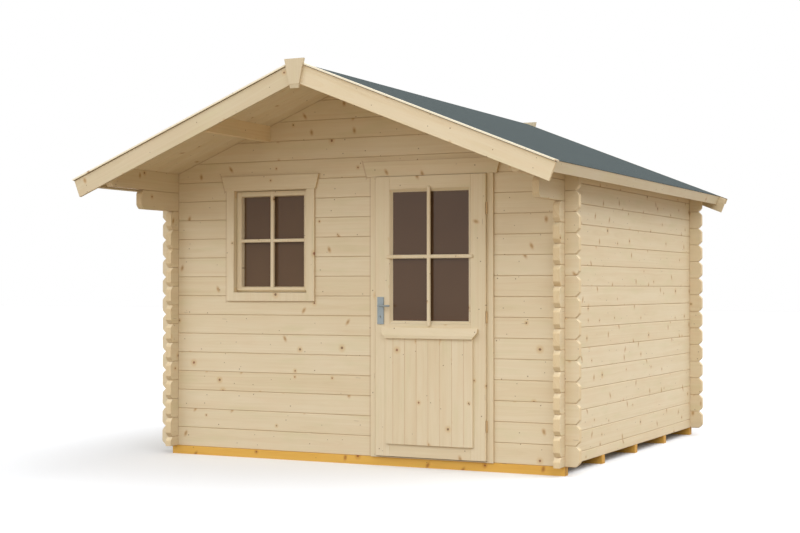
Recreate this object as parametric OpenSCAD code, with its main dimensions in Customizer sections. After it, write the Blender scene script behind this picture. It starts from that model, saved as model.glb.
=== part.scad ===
// Log-built garden house with a gable roof, a glazed door and one window.
// X runs along the front, +Y from the front to the back, +Z up.
// The origin is the centre of the footprint, on the ground. Millimetres.

/* [House] */
// Width of the log walls, outside to outside
house_w = 3000; // [2400:10:4200]
// Depth of the log walls, outside to outside
house_d = 3000; // [2400:10:4200]
// Full log courses up to the eaves
courses = 14; // [14:1:17]
// Height of the roof's underside over the last full course, at the wall's outer face
eaves_rise = 55; // [45:1:80]

/* [Logs] */
// Height of one log course
log_h = 135; // [130:1:145]
// Thickness of a log
log_t = 44; // [34:1:70]
// Length of a log end beyond the crossing wall
log_end = 95; // [70:1:140]
// Depth of the bevelled corners of a log end
end_bevel_in = 29; // [10:1:34]
// Height of the bevelled corners of a log end
end_bevel_up = 30; // [10:1:33]
// Edge chamfer that makes the groove between two courses
log_groove = 4; // [2:0.5:8]
// Reach of the lower corbel log in front of the front wall
corbel_reach = 450; // [200:10:600]

/* [Foundation and floor] */
// Height of a foundation beam
beam_h = 58; // [40:1:100]
// Width of a foundation beam
beam_w = 60; // [40:1:100]
// Number of foundation beams
beam_count = 5; // [3:1:7]
// Thickness of the floor boards
floor_t = 18; // [12:1:28]

/* [Roof] */
// Pitch of the roof in degrees
roof_angle = 21.8; // [15:0.1:30]
// Overhang of the roof boards in front of the front wall
front_overhang = 800; // [500:10:1000]
// Overhang of the roof boards behind the rear wall
rear_overhang = 180; // [120:10:400]
// Overhang of the roof beyond each side wall
side_overhang = 245; // [160:5:320]
// Thickness of the roof boards
roof_board_t = 18; // [15:1:26]
// Thickness of the roofing felt
felt_t = 3; // [2:0.5:6]
// Depth of a barge board
barge_h = 118; // [90:1:160]
// Thickness of a barge board
barge_t = 20; // [15:1:28]
// Depth of an eaves board
eaves_h = 70; // [40:1:100]
// Thickness of an eaves board
eaves_t = 18; // [12:1:28]
// Reach of the barge boards past the eaves boards, down the slope
barge_past = 60; // [0:5:100]
// Width of the strip that covers the felt along the verge
strip_w = 45; // [30:1:60]
// Thickness of the cover strip
strip_t = 10; // [6:1:16]
// Reach of the cover strip past the face of the barge board
strip_out = 12; // [2:1:14]
// Reach of the cover strip past the foot of the barge board
strip_past = 5; // [2:1:14]
// Width of the apex board at its top
apex_top_w = 142; // [100:1:180]
// Width of the apex board at its foot
apex_foot_w = 60; // [40:1:90]
// Height of the apex board above the barge boards' peak
apex_above = 20; // [5:1:60]
// Height of the apex board
apex_h = 187; // [150:1:240]
// Thickness of the apex board
apex_t = 18; // [12:1:28]
// Distance of a side purlin's inner face from the ridge line
purlin_x = 683; // [500:1:800]
// Thickness of the purlins
purlin_t = 44; // [34:1:70]

/* [Window] */
// Centre of the window from the middle of the house
window_x = -679; // [-760:1:-560]
// Clear width between the window's jambs
window_w = 594; // [500:1:660]
// Clear height between the window's sill and head
window_h = 715; // [600:1:720]
// Thickness of the window's frame
window_frame_t = 24; // [18:1:34]
// Course that the window stands on
window_course = 8; // [7:1:8]
// Width of a sash stile
sash_stile = 36; // [26:1:48]
// Width of a sash rail
sash_rail = 32; // [22:1:40]
// Depth of the sash
sash_t = 42; // [38:1:50]
// Height of the bevel under the sash's face
sash_foot = 14; // [6:1:20]
// Distance of the window's pane behind the sash's face
pane_back = 33; // [24:1:33]
// Distance of the sash behind the wall's outer face
sash_back = 24; // [10:1:28]
// Gap between the sash and the window's frame
sash_gap = 3; // [2:0.5:5]
// Width of the stop that the sash closes on
window_stop = 10; // [6:1:14]
// Depth of that stop
window_stop_t = 12; // [8:1:20]
// Width of the window's trim boards
trim_w = 60; // [45:1:75]
// Thickness of the trim boards
trim_t = 15; // [10:1:20]
// Width of the bevelled beads round the panes
window_bead_w = 6; // [5:1:14]
// Height of the window's head board
window_head_h = 100; // [70:1:110]
// Reach of the head board's foot past the trim
window_head_out = 10; // [0:1:30]
// Slant of a head board's ends
head_slant = 28; // [0:1:40]
// Thickness of the head boards
head_t = 20; // [14:1:24]
// Thickness of the panes
glass_t = 4; // [3:1:6]

/* [Door] */
// Centre of the door from the middle of the house
door_x = 566; // [480:1:700]
// Width of the door leaf
leaf_w = 800; // [700:1:860]
// Height of the door leaf
leaf_h = 1869; // [1800:1:1869]
// Thickness of the door leaf
leaf_t = 40; // [36:1:50]
// Distance that the leaf stands proud of the frame's face
leaf_proud = 20; // [18:1:24]
// Width of a leaf stile
leaf_stile = 103; // [90:1:130]
// Height of the glazed opening's foot above the leaf's foot
glazing_foot = 886; // [860:1:930]
// Height of the rail over the glazed opening
leaf_top = 83; // [60:1:110]
// Width of the bevelled glazing beads
bead_w = 20; // [12:1:26]
// Distance of the boarded panel from the leaf's sides and foot
panel_in = 84; // [70:1:120]
// Distance of the boarded panel's top from the glazed opening
panel_down = 97; // [90:1:140]
// Thickness of the boarded panel
panel_t = 14; // [10:1:20]
// Reach of the drip board past each side of the panel
drip_out = 33; // [0:1:40]
// Height of the drip board
drip_h = 70; // [50:1:80]
// Thickness of the drip board
drip_t = 30; // [24:1:40]
// Width of the door frame's face
frame_face = 42; // [34:1:50]
// Thickness of the frame's cheeks over the wall
cheek_t = 15; // [10:1:20]
// Depth of the groove that takes the log ends
frame_groove = 20; // [10:1:24]
// Height of the frame's head
frame_head_h = 40; // [30:1:60]
// Width of the stop strip that the leaf closes on
stop_w = 12; // [8:1:20]
// Height of the stop above the threshold
stop_h = 24; // [12:1:30]
// Thickness of the threshold plate
sill_t = 6; // [4:1:8]
// Height of the door's head board
door_head_h = 101; // [80:1:110]
// Reach of the door head board's foot past the frame
door_head_out = 26; // [0:1:40]

/* [Fittings] */
// Radius of a hinge barrel
barrel_r = 5; // [4:0.5:6]
// Radius of a hinge pin
pin_r = 2.5; // [2:0.5:3]
// Height of a hinge barrel
barrel_h = 76; // [60:1:100]
// Thickness of a hinge flap
flap_t = 1.8; // [1.5:0.1:2]
// Height of the lever's axis above the leaf's foot
lever_z = 1005; // [980:1:1060]
// Distance of the lever's axis from the leaf's free edge
lever_in = 40; // [36:1:50]
// Width of a handle plate
plate_w = 48; // [36:1:50]
// Height of a handle plate
plate_h = 182; // [150:1:220]
// Thickness of a handle plate
plate_t = 6; // [4:1:8]
// Height of a handle plate above the lever's axis
plate_up = 59; // [50:1:80]
// Distance of the keyhole below the lever's axis
key_down = 70; // [60:1:80]
// Radius of the keyhole
key_r = 4; // [3:0.5:6]
// Length of the lever from its axis to its tip
lever_l = 84; // [80:1:120]
// Radius of the lever's grip
grip_r = 6.5; // [5:0.5:8]
// Radius of the spindle through the leaf
spindle_r = 4; // [3:0.5:5]
// Reach of the lever's neck from the plate
neck_l = 30; // [24:1:40]
// Radius of the lever's neck
neck_r = 7; // [6:0.5:9]

/* [Hidden] */
$fn = 32;

fit = 0.4;            // gap between pieces that lie against each other
run = 5;              // gap round the moving door leaf
pin_play = 0.1;       // gap round a hinge pin and round the lever's neck
floor_gap = 2;        // gap between the floor and the walls
end_steps = 4;        // flats that make the bevel of a log end's corner
end_bow = 1.65;       // bulge of that bevel: 2 makes it straight, 1 a quarter ellipse
half_w = house_w / 2;
half_d = house_d / 2;
wall_z = beam_h;
roof_rise = tan(roof_angle);
eaves_z = wall_z + courses * log_h + eaves_rise;
ridge_z = eaves_z + half_w * roof_rise;
roof_y0 = -half_d - front_overhang;
roof_y1 = half_d + rear_overhang;
top_x = half_w + side_overhang;
slope_l = (top_x - roof_board_t * sin(roof_angle)) / cos(roof_angle);
eaves_l = slope_l - barge_past;
felt_past = 2;        // reach of the felt past the board under its lower edge
felt_n = roof_board_t + fit + felt_t;
apex_front_y = roof_y0 - barge_t - fit - apex_t;
apex_rear_y = roof_y1 + barge_t + fit;
top_course = floor((ridge_z - wall_z) / log_h - 0.5);
purlin_course = floor((ridge_z - purlin_x * roof_rise - wall_z) / log_h - 0.5);
pine = [0.86, 0.76, 0.58];

// ---- Places of the doorway and the window in the front wall ----
leaf_x0 = door_x - leaf_w / 2;
leaf_x1 = door_x + leaf_w / 2;
leaf_z0 = wall_z + sill_t + run;
leaf_z1 = leaf_z0 + leaf_h;
leaf_y0 = -half_d - cheek_t - leaf_proud;
leaf_y1 = leaf_y0 + leaf_t;
jamb_x0 = leaf_x0 - run;
jamb_x1 = leaf_x1 + run;
head_z = leaf_z1 + run;
frame_y0 = -half_d - cheek_t;
frame_y1 = -half_d + log_t + cheek_t;
stop_y = leaf_y1 + run;
door_cut = [jamb_x0 - frame_face + frame_groove, jamb_x1 + frame_face - frame_groove];
door_cut_z = head_z + frame_head_h + fit;
door_courses = min(courses, floor((door_cut_z - wall_z) / log_h));
window_z0 = wall_z + window_course * log_h + window_frame_t + fit;
window_z1 = window_z0 + window_h;
window_cut = [
    window_x - window_w / 2 - window_frame_t - fit,
    window_x + window_w / 2 + window_frame_t + fit
];
window_cut_z = [wall_z + window_course * log_h, window_z1 + window_frame_t + fit];
hinge_x = leaf_x1 + barrel_r + 1;
hinge_y = frame_y0 - barrel_r - 1;
hinge_z = [for (share = [0.12, 0.5, 0.88]) leaf_z0 + leaf_h * share];
glazing_z0 = leaf_z0 + glazing_foot;
glazing_z1 = leaf_z1 - leaf_top;
panel_x = leaf_w / 2 - panel_in;
panel_z0 = leaf_z0 + panel_in;
panel_z1 = glazing_z0 - panel_down;
lever_x = leaf_x0 + lever_in;
lever_at = leaf_z0 + lever_z;

// Height of the roof boards' underside at a distance x from the ridge line
function roof_z(x) = ridge_z - abs(x) * roof_rise;

// Height of the foot of a course in the front and rear walls
function course_z(k) = wall_z + k * log_h;

// ---- Building blocks ----

// Extrudes an outline drawn in X and Z along Y, from y0 to y1
module along_y(y0, y1)
    translate([0, y1, 0]) rotate([90, 0, 0]) linear_extrude(y1 - y0) children();

// Extrudes an outline drawn in Y and Z along X, from x0 to x1
module along_x(x0, x1)
    translate([x0, 0, 0]) rotate([90, 0, 90]) linear_extrude(x1 - x0) children();

// A plain board between two corners
module board(low, high)
    translate(low) cube(high - low);

// Cross-section of a log from across a to b, with grooved edges top and foot
module log_section(a, b, lo, hi)
    polygon([
        [a + log_groove, lo], [b - log_groove, lo], [b, lo + log_groove], [b, hi - log_groove],
        [b - log_groove, hi], [a + log_groove, hi], [a, hi - log_groove], [a, lo + log_groove]
    ]);

// Points of a bevelled log-end corner at (u, v), turning towards (su, sv)
function end_corner(u, v, su, sv) = [
    for (a = [0 : 90 / end_steps : 90])
        [
            u + su * end_bevel_in * (1 - pow(cos(a), end_bow)),
            v + sv * end_bevel_up * (1 - pow(sin(a), end_bow))
        ]
];
function flip(points) = [for (i = [len(points) - 1 : -1 : 0]) points[i]];

// Side view of a log from a to b between lo and hi, with rounded ends where asked
module log_outline(a, b, lo, hi, round_a, round_b)
    polygon(concat(
        round_a ? end_corner(a, lo, 1, 1) : [[a, lo]],
        round_b ? flip(end_corner(b, lo, -1, 1)) : [[b, lo]],
        round_b ? end_corner(b, hi, -1, -1) : [[b, hi]],
        round_a ? flip(end_corner(a, hi, 1, -1)) : [[a, hi]]
    ));

// Side view of the notches where the crossing logs pass, half of each log's height
module notches(at, lo, hi)
    for (s = [-1, 1])
        translate([s > 0 ? at - log_t - fit : -at - fit, 0]) {
            translate([0, lo - 1]) square([log_t + 2 * fit, log_h / 4 + 1 + fit / 2]);
            translate([0, lo + 0.75 * log_h - fit / 2]) square([log_t + 2 * fit, hi - lo]);
        }

// Outline of everything under the roof boards, seen from the front
module under_roof()
    polygon([
        [-top_x, 0], [top_x, 0], [top_x, roof_z(top_x) - fit],
        [0, ridge_z - fit], [-top_x, roof_z(top_x) - fit]
    ]);

// One course of the front or rear wall; children are cut out of its front view.
// The log under the ridge takes all the height that is left there.
module cross_log(y0, k) {
    lo = course_z(k) + fit / 2;
    hi = k == top_course ? ridge_z : course_z(k + 1) - fit / 2;
    intersection() {
        along_x(-half_w - log_end, half_w + log_end) log_section(y0, y0 + log_t, lo, hi);
        along_y(y0, y0 + log_t) difference() {
            intersection() {
                log_outline(-half_w - log_end, half_w + log_end, lo, hi, true, true);
                under_roof();
            }
            notches(half_w, course_z(k), hi);
            children();
        }
    }
}

// Openings in the front wall, seen from the front
module doorway()
    translate([door_cut[0], 0]) square([door_cut[1] - door_cut[0], door_cut_z]);
module window_hole()
    translate([window_cut[0], window_cut_z[0]])
        square([window_cut[1] - window_cut[0], window_cut_z[1] - window_cut_z[0]]);

// Slots for the purlins in a gable, seen from the front
module purlin_slots() {
    for (s = [-1, 1])
        translate([s * (purlin_x + purlin_t / 2) - purlin_t / 2 - fit, course_z(purlin_course)])
            square([purlin_t + 2 * fit, house_w]);
    translate([-purlin_t / 2 - fit, course_z(top_course)]) square([purlin_t + 2 * fit, house_w]);
}

// One log of a side wall, from y0 to y1, with its notches at both corners
module side_log(x0, y0, y1, lo, hi, k) {
    intersection() {
        along_y(y0, y1) intersection() {
            log_section(x0, x0 + log_t, lo, hi);
            under_roof();
        }
        along_x(x0, x0 + log_t) difference() {
            log_outline(y0, y1, lo, hi, true, true);
            notches(half_d, course_z(k), hi);
        }
    }
}

module side_wall(x0) {
    y0 = -half_d - log_end;
    y1 = half_d + log_end;
    foot = course_z(0) + fit;
    // The half log on the foundation beams
    intersection() {
        along_y(y0, y1) log_section(x0, x0 + log_t, foot, course_z(0.5) - fit / 2);
        along_x(x0, x0 + log_t) difference() {
            intersection() {
                log_outline(y0, y1, foot - log_h / 2, course_z(0.5) - fit / 2, true, true);
                translate([y0, foot]) square([y1 - y0, log_h]);
            }
            notches(half_d, course_z(-0.5), course_z(0.5));
        }
    }
    for (k = [0.5 : 1 : courses - 2.5])
        side_log(x0, y0, y1, course_z(k) + fit / 2, course_z(k + 1) - fit / 2, k);
    // The two corbel logs that carry the roof's overhang
    side_log(x0, -half_d - corbel_reach, y1,
        course_z(courses - 1.5) + fit / 2, course_z(courses - 0.5) - fit / 2, courses - 1.5);
    corbel_top(x0, y1);
}

// The top log of a side wall: it is planed to the roof's slope and reaches the barge board
module corbel_top(x0, y1) {
    lo = course_z(courses - 0.5) + fit / 2;
    hi = eaves_z + log_t * roof_rise;
    intersection() {
        along_y(roof_y0 + fit, y1) intersection() {
            translate([x0, lo]) square([log_t, hi - lo]);
            under_roof();
        }
        along_x(x0, x0 + log_t) difference() {
            log_outline(roof_y0 + fit, y1, lo, hi + log_h / 2, true, true);
            notches(half_d, course_z(courses - 0.5), hi + log_h);
        }
    }
}

// ---- Roof helpers: s runs down the slope from the ridge, n stands on the boards' underside ----

// Places a piece drawn in s and n on the right slope; the left one is its mirror
module on_slope(side, y0, y1)
    mirror([side < 0 ? 1 : 0, 0, 0])
        along_y(y0, y1)
            translate([0, ridge_z]) rotate(-roof_angle) children();

// Outline from s = 0 to s1 between n0 and n1, cut plumb at the ridge
module slope_outline(s1, n0, n1, gap)
    polygon([
        [gap - n0 * roof_rise, n0], [s1, n0], [s1, n1], [gap - n1 * roof_rise, n1]
    ]);

// ---- Foundation and floor ----

module foundation_beams()
    color([0.83, 0.66, 0.32])
        for (i = [0 : beam_count - 1])
            translate([
                -half_w,
                -half_d - 5 + i * (house_d + 5 - beam_w) / (beam_count - 1),
                0
            ]) cube([house_w, beam_w, beam_h]);

// The floor reaches the walls on all sides and is notched round the door frame
module floor_boards() {
    inset = log_t + floor_gap;
    color([0.84, 0.74, 0.56])
        difference() {
            board(
                [-half_w + inset, -half_d + inset, wall_z + fit],
                [half_w - inset, half_d - inset, wall_z + floor_t]
            );
            board(
                [jamb_x0 - frame_face - floor_gap, -half_d, 0],
                [jamb_x1 + frame_face + floor_gap, -half_d + inset + cheek_t, wall_z + floor_t + 1]
            );
        }
}

// ---- Walls ----

module front_wall_left()
    color(pine)
        for (k = [0 : door_courses - 1])
            cross_log(-half_d, k) {
                doorway();
                window_hole();
                translate([door_x, 0]) square([house_w, eaves_z * 2]);
            }

module front_wall_right()
    color(pine)
        for (k = [0 : door_courses - 1])
            cross_log(-half_d, k) {
                doorway();
                translate([door_x - house_w * 2, 0]) square([house_w * 2, eaves_z * 2]);
            }

// The front wall's logs over the doorway, up to the ridge
module front_gable()
    color(pine)
        for (k = [door_courses : top_course])
            cross_log(-half_d, k) {
                doorway();
                window_hole();
                purlin_slots();
            }

module rear_wall()
    color(pine)
        for (k = [0 : courses - 1]) cross_log(half_d - log_t, k);

module rear_gable()
    color(pine)
        for (k = [courses : top_course]) cross_log(half_d - log_t, k) purlin_slots();

module left_wall()
    color(pine) side_wall(-half_w);

module right_wall()
    color(pine) side_wall(half_w - log_t);

// ---- Purlins ----

module purlin(x0, lo)
    along_y(roof_y0 + fit, roof_y1 - fit)
        intersection() {
            translate([x0, lo + fit]) square([purlin_t, house_w]);
            under_roof();
        }

module left_purlin()
    color(pine) purlin(-purlin_x - purlin_t, course_z(purlin_course));

module right_purlin()
    color(pine) purlin(purlin_x, course_z(purlin_course));

module ridge_purlin()
    color(pine) purlin(-purlin_t / 2, course_z(top_course));

// ---- Roof ----

module roof_boards(side)
    color(pine)
        on_slope(side, roof_y0, roof_y1)
            slope_outline(eaves_l - eaves_t - fit, 0, roof_board_t, fit / 2);

// The felt ends over the eaves board, but lies on the barge boards down to their feet
module roof_felt(side) {
    n0 = roof_board_t + fit;
    n1 = n0 + felt_t;
    color([0.40, 0.44, 0.45])
        difference() {
            on_slope(side, roof_y0 - barge_t, roof_y1 + barge_t)
                slope_outline(slope_l + felt_past, n0, n1, fit / 2);
            on_slope(side, roof_y0, roof_y1)
                translate([eaves_l + felt_past, n0 - 1]) square([barge_past + 1, felt_t + 2]);
        }
}

module barge_board(side, y0)
    color([0.84, 0.75, 0.60])
        on_slope(side, y0, y0 + barge_t - fit)
            slope_outline(slope_l, roof_board_t - barge_h, roof_board_t, fit / 2);

// A strip from y0 to y1 and from n0 to n1, cut back where the apex board stands
module verge_strip(side, y0, y1, n0, n1, apex_y)
    color([0.85, 0.77, 0.63])
        difference() {
            on_slope(side, y0, y1) slope_outline(slope_l + strip_past, n0, n1, fit / 2);
            board(
                [-apex_top_w / 2 - fit, apex_y - fit, ridge_z - barge_h],
                [apex_top_w / 2 + fit, apex_y + apex_t + fit, ridge_z + barge_h]
            );
        }

// The keystone-shaped board over the joint of two barge boards
module apex_board(y0, front) {
    top = ridge_z + roof_board_t / cos(roof_angle) + apex_above;
    foot = top - apex_h;
    bevel = apex_t * 0.4;
    face = front ? y0 : y0 + apex_t;
    back = front ? y0 + apex_t : y0;
    out = front ? 1 : -1;
    color([0.84, 0.76, 0.61])
        intersection() {
            along_y(y0, y0 + apex_t)
                polygon([
                    [-apex_foot_w / 2, foot], [apex_foot_w / 2, foot],
                    [apex_top_w / 2, top], [-apex_top_w / 2, top]
                ]);
            along_x(-apex_top_w, apex_top_w)
                polygon([
                    [face + out * bevel, foot], [face + out * 2, foot + 24], [face, foot + 26],
                    [face, top + 1], [back, top + 1], [back, foot]
                ]);
        }
}

module eaves_board(side)
    color([0.84, 0.75, 0.60])
        on_slope(side, roof_y0 + fit, roof_y1 - fit)
            translate([eaves_l - eaves_t, roof_board_t - eaves_h]) square([eaves_t, eaves_h]);

module roof_boards_left() roof_boards(-1);
module roof_boards_right() roof_boards(1);
module roof_felt_left() roof_felt(-1);
module roof_felt_right() roof_felt(1);
module barge_front_left() barge_board(-1, roof_y0 - barge_t);
module barge_front_right() barge_board(1, roof_y0 - barge_t);
module barge_rear_left() barge_board(-1, roof_y1 + fit);
module barge_rear_right() barge_board(1, roof_y1 + fit);
// The front strips lie on the felt's edge
module verge_strips_front() {
    y0 = roof_y0 - barge_t - strip_out;
    for (side = [-1, 1])
        verge_strip(side, y0, y0 + strip_w, felt_n + fit, felt_n + fit + strip_t, apex_front_y);
}
// The rear strips stand against the backs of the barge boards and the felt's edge
module verge_strips_rear() {
    y0 = roof_y1 + barge_t + fit;
    for (side = [-1, 1])
        verge_strip(side, y0, y0 + strip_t, felt_n - strip_w, felt_n, apex_rear_y);
}
module apex_board_front() apex_board(apex_front_y, true);
module apex_board_rear() apex_board(apex_rear_y, false);
module eaves_board_left() eaves_board(-1);
module eaves_board_right() eaves_board(1);

// ---- Window ----

// Places a frame drawn in X and Z round the window's clear opening, widened on all sides
module window_rect(grow_x, grow_z)
    translate([window_x - window_w / 2 - grow_x, window_z0 - grow_z])
        square([window_w + 2 * grow_x, window_h + 2 * grow_z]);

// A ring of glazing bead between two corners, bevelled on the side that faces away from the pane
module bead_ring(low, high, w, faces_front) {
    lip = 2;
    wide = faces_front ? low.y : high.y;
    narrow = faces_front ? high.y : low.y;
    out = faces_front ? -1 : 1;
    difference() {
        board(low, high);
        intersection() {
            along_x(low.x, high.x)
                polygon([
                    [wide + out, low.z + lip], [wide, low.z + lip], [narrow, low.z + w],
                    [narrow - out, low.z + w], [narrow - out, high.z - w], [narrow, high.z - w],
                    [wide, high.z - lip], [wide + out, high.z - lip]
                ]);
            translate([0, 0, low.z]) linear_extrude(high.z - low.z)
                polygon([
                    [low.x + lip, wide + out], [low.x + lip, wide], [low.x + w, narrow],
                    [low.x + w, narrow - out], [high.x - w, narrow - out], [high.x - w, narrow],
                    [high.x - lip, wide], [high.x - lip, wide + out]
                ]);
        }
    }
}

// The beads on both sides of a pane whose face is at pane_y
module beads(low, high, w, pane_y) {
    bead_ring(low, [high.x, pane_y - fit, high.z], w, true);
    bead_ring([low.x, pane_y + glass_t + fit, low.z], high, w, false);
}

// A pane whose face is at pane_y
module pane(low, high, pane_y)
    board([low.x, pane_y, low.z], [high.x, pane_y + glass_t, high.z]);

// The window's frame, with a stop behind the sash
module window_frame() {
    rebate_y = -half_d + sash_back + sash_t + fit;
    color([0.85, 0.74, 0.56]) {
        along_y(-half_d, rebate_y)
            difference() {
                window_rect(window_frame_t, window_frame_t);
                window_rect(0, 0);
            }
        along_y(rebate_y, rebate_y + window_stop_t)
            difference() {
                window_rect(window_frame_t, window_frame_t);
                window_rect(-window_stop, -window_stop);
            }
    }
}

// The sash, with a bevel along its foot in front
module window_sash() {
    y0 = -half_d + sash_back;
    foot = window_z0 + sash_gap;
    color([0.86, 0.77, 0.60])
        intersection() {
            along_y(y0, y0 + sash_t)
                difference() {
                    window_rect(-sash_gap, -sash_gap);
                    window_rect(-sash_gap - sash_stile, -sash_gap - sash_rail);
                }
            along_x(window_x - window_w / 2, window_x + window_w / 2)
                polygon([
                    [y0, foot + sash_foot], [y0 + sash_foot, foot], [y0 + sash_t, foot],
                    [y0 + sash_t, window_z1], [y0, window_z1]
                ]);
        }
}

// Corners of the glazed opening in the sash
sash_low = [
    window_x - window_w / 2 + sash_gap + sash_stile + fit,
    -half_d + sash_back,
    window_z0 + sash_gap + sash_rail + fit
];
sash_high = [
    window_x + window_w / 2 - sash_gap - sash_stile - fit,
    -half_d + sash_back + sash_t,
    window_z1 - sash_gap - sash_rail - fit
];

module window_beads()
    color([0.88, 0.79, 0.64]) beads(sash_low, sash_high, window_bead_w, sash_low.y + pane_back);

module window_glass()
    color([0.36, 0.29, 0.24]) pane(sash_low, sash_high, sash_low.y + pane_back);

module window_trim() {
    top = window_z1 + trim_t / 4;
    foot = window_z0 - trim_w;
    x0 = window_x - window_w / 2;
    x1 = window_x + window_w / 2;
    color([0.85, 0.76, 0.60]) {
        board([x0 - trim_w, -half_d - trim_t, foot], [x0, -half_d - fit, top]);
        board([x1, -half_d - trim_t, foot], [x1 + trim_w, -half_d - fit, top]);
        board([x0 + fit, -half_d - trim_t, foot], [x1 - fit, -half_d - fit, window_z0]);
    }
}

// A head board with slanted ends over a row of trim from x0 to x1
module head_board(x0, x1, foot, h)
    along_y(-half_d - head_t, -half_d - fit)
        polygon([[x0, foot], [x1, foot], [x1 + head_slant, foot + h], [x0 - head_slant, foot + h]]);

module window_head_board()
    color([0.84, 0.74, 0.57])
        head_board(
            window_x - window_w / 2 - trim_w - window_head_out,
            window_x + window_w / 2 + trim_w + window_head_out,
            window_z1 + trim_t / 4 + fit,
            window_head_h
        );

// ---- Door frame ----

// Plan of the left jamb, which grips the log ends in its groove
module jamb_plan() {
    outer = jamb_x0 - frame_face;
    groove = door_cut[0] + fit;
    polygon([
        [outer, frame_y0], [jamb_x0, frame_y0], [jamb_x0, frame_y1], [outer, frame_y1],
        [outer, -half_d + log_t + fit], [groove, -half_d + log_t + fit],
        [groove, -half_d - fit], [outer, -half_d - fit]
    ]);
}

// Two jambs and the head between them and the log above
module door_frame() {
    foot = wall_z + fit;
    color([0.85, 0.75, 0.58]) {
        for (side = [0, 1])
            translate([side * 2 * door_x, 0, foot]) mirror([side, 0, 0])
                linear_extrude(head_z - fit - foot) jamb_plan();
        board([door_cut[0] + fit, -half_d, head_z], [door_cut[1] - fit, frame_y1, door_cut_z - fit]);
        board(
            [jamb_x0 - frame_face, -half_d + log_t + fit, head_z],
            [jamb_x1 + frame_face, frame_y1, door_cut_z + frame_groove]
        );
    }
}

// The strips that the leaf closes on
module door_stops()
    color([0.85, 0.75, 0.58]) {
        for (x = [jamb_x0 + fit, jamb_x1 - stop_w])
            board([x, stop_y, wall_z + fit], [x + stop_w - fit, frame_y1, head_z - fit]);
        board(
            [jamb_x0 + stop_w + fit, stop_y, head_z - stop_w],
            [jamb_x1 - stop_w - fit, frame_y1, head_z - fit]
        );
    }

// A plate under the leaf with a raised stop behind it
module door_threshold() {
    x0 = jamb_x0 + stop_w + fit;
    x1 = jamb_x1 - stop_w - fit;
    foot = wall_z + fit;
    top = wall_z + sill_t;
    color([0.80, 0.68, 0.48]) {
        board([jamb_x0 + fit, frame_y0, foot], [jamb_x1 - fit, stop_y - fit, top]);
        board([x0, frame_y0, foot], [x1, frame_y1, top]);
        board([x0, stop_y, foot], [x1, frame_y1, top + stop_h]);
    }
}

module door_head_board()
    color([0.84, 0.74, 0.57])
        head_board(
            jamb_x0 - frame_face - door_head_out,
            jamb_x1 + frame_face + door_head_out,
            head_z + fit,
            door_head_h
        );

// ---- Hinges: the axis stands beside the leaf, in front of the jamb ----

// One half of each hinge; the frame's half carries the pin
module hinge_barrels(z0, z1)
    for (z = hinge_z)
        translate([hinge_x, hinge_y, z + z0]) cylinder(r = barrel_r, h = z1 - z0);

module hinge_frame_halves()
    color([0.62, 0.64, 0.66]) {
        hinge_barrels(-barrel_h / 2, -pin_play);
        for (z = hinge_z) {
            translate([hinge_x, hinge_y, z - 1]) cylinder(r = pin_r, h = barrel_h / 2 - 4);
            board(
                [jamb_x1 - pin_play - flap_t, hinge_y, z - barrel_h / 2],
                [jamb_x1 - pin_play, leaf_y1, z - pin_play]
            );
        }
    }

module hinge_door_halves()
    color([0.62, 0.64, 0.66])
        difference() {
            union() {
                hinge_barrels(pin_play, barrel_h / 2);
                for (z = hinge_z)
                    board(
                        [leaf_x1 + pin_play, hinge_y, z + pin_play],
                        [leaf_x1 + pin_play + flap_t, leaf_y1, z + barrel_h / 2]
                    );
            }
            for (z = hinge_z)
                translate([hinge_x, hinge_y, z - 1])
                    cylinder(r = pin_r + pin_play, h = barrel_h / 2 - 2);
        }

// ---- Door leaf ----

// Corners of the glazed opening in the leaf
glazing_low = [leaf_x0 + leaf_stile + fit, leaf_y0, glazing_z0 + fit];
glazing_high = [leaf_x1 - leaf_stile - fit, leaf_y1, glazing_z1 - fit];
door_pane_y = (leaf_y0 + leaf_y1 - glass_t) / 2;

module door_leaf() {
    edge = 2;
    color([0.87, 0.78, 0.61])
        difference() {
            translate([0, 0, leaf_z0]) linear_extrude(leaf_h)
                polygon([
                    [leaf_x0 + edge, leaf_y0], [leaf_x1 - edge, leaf_y0],
                    [leaf_x1, leaf_y0 + edge], [leaf_x1, leaf_y1],
                    [leaf_x0, leaf_y1], [leaf_x0, leaf_y0 + edge]
                ]);
            board(
                glazing_low - [fit, 1, fit],
                glazing_high + [fit, 1, fit]
            );
            translate([lever_x, leaf_y0 - 1, lever_at])
                rotate([-90, 0, 0]) cylinder(r = spindle_r + 1, h = leaf_t + 2);
        }
}

module door_beads()
    color([0.88, 0.79, 0.64]) beads(glazing_low, glazing_high, bead_w, door_pane_y);

module door_glass()
    color([0.36, 0.29, 0.24]) pane(glazing_low, glazing_high, door_pane_y);

module door_panel()
    color([0.87, 0.78, 0.60])
        board(
            [door_x - panel_x, leaf_y0 - panel_t, panel_z0],
            [door_x + panel_x, leaf_y0 - fit, panel_z1]
        );

module door_drip_board() {
    foot = panel_z1 + fit;
    wide = panel_x + drip_out;
    rise = drip_h * 0.6;
    color([0.88, 0.79, 0.63])
        intersection() {
            along_y(leaf_y0 - drip_t, leaf_y0 - fit)
                polygon([
                    [door_x - panel_x, foot], [door_x + panel_x, foot],
                    [door_x + wide, foot + rise], [door_x + wide, foot + drip_h],
                    [door_x - wide, foot + drip_h], [door_x - wide, foot + rise]
                ]);
            along_x(door_x - wide, door_x + wide)
                polygon([
                    [leaf_y0 - drip_t, foot], [leaf_y0 - fit, foot], [leaf_y0 - fit, foot + drip_h],
                    [leaf_y0 - drip_t * 0.35, foot + drip_h], [leaf_y0 - drip_t, foot + drip_h * 0.3]
                ]);
        }
}

// ---- Door fittings ----

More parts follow.
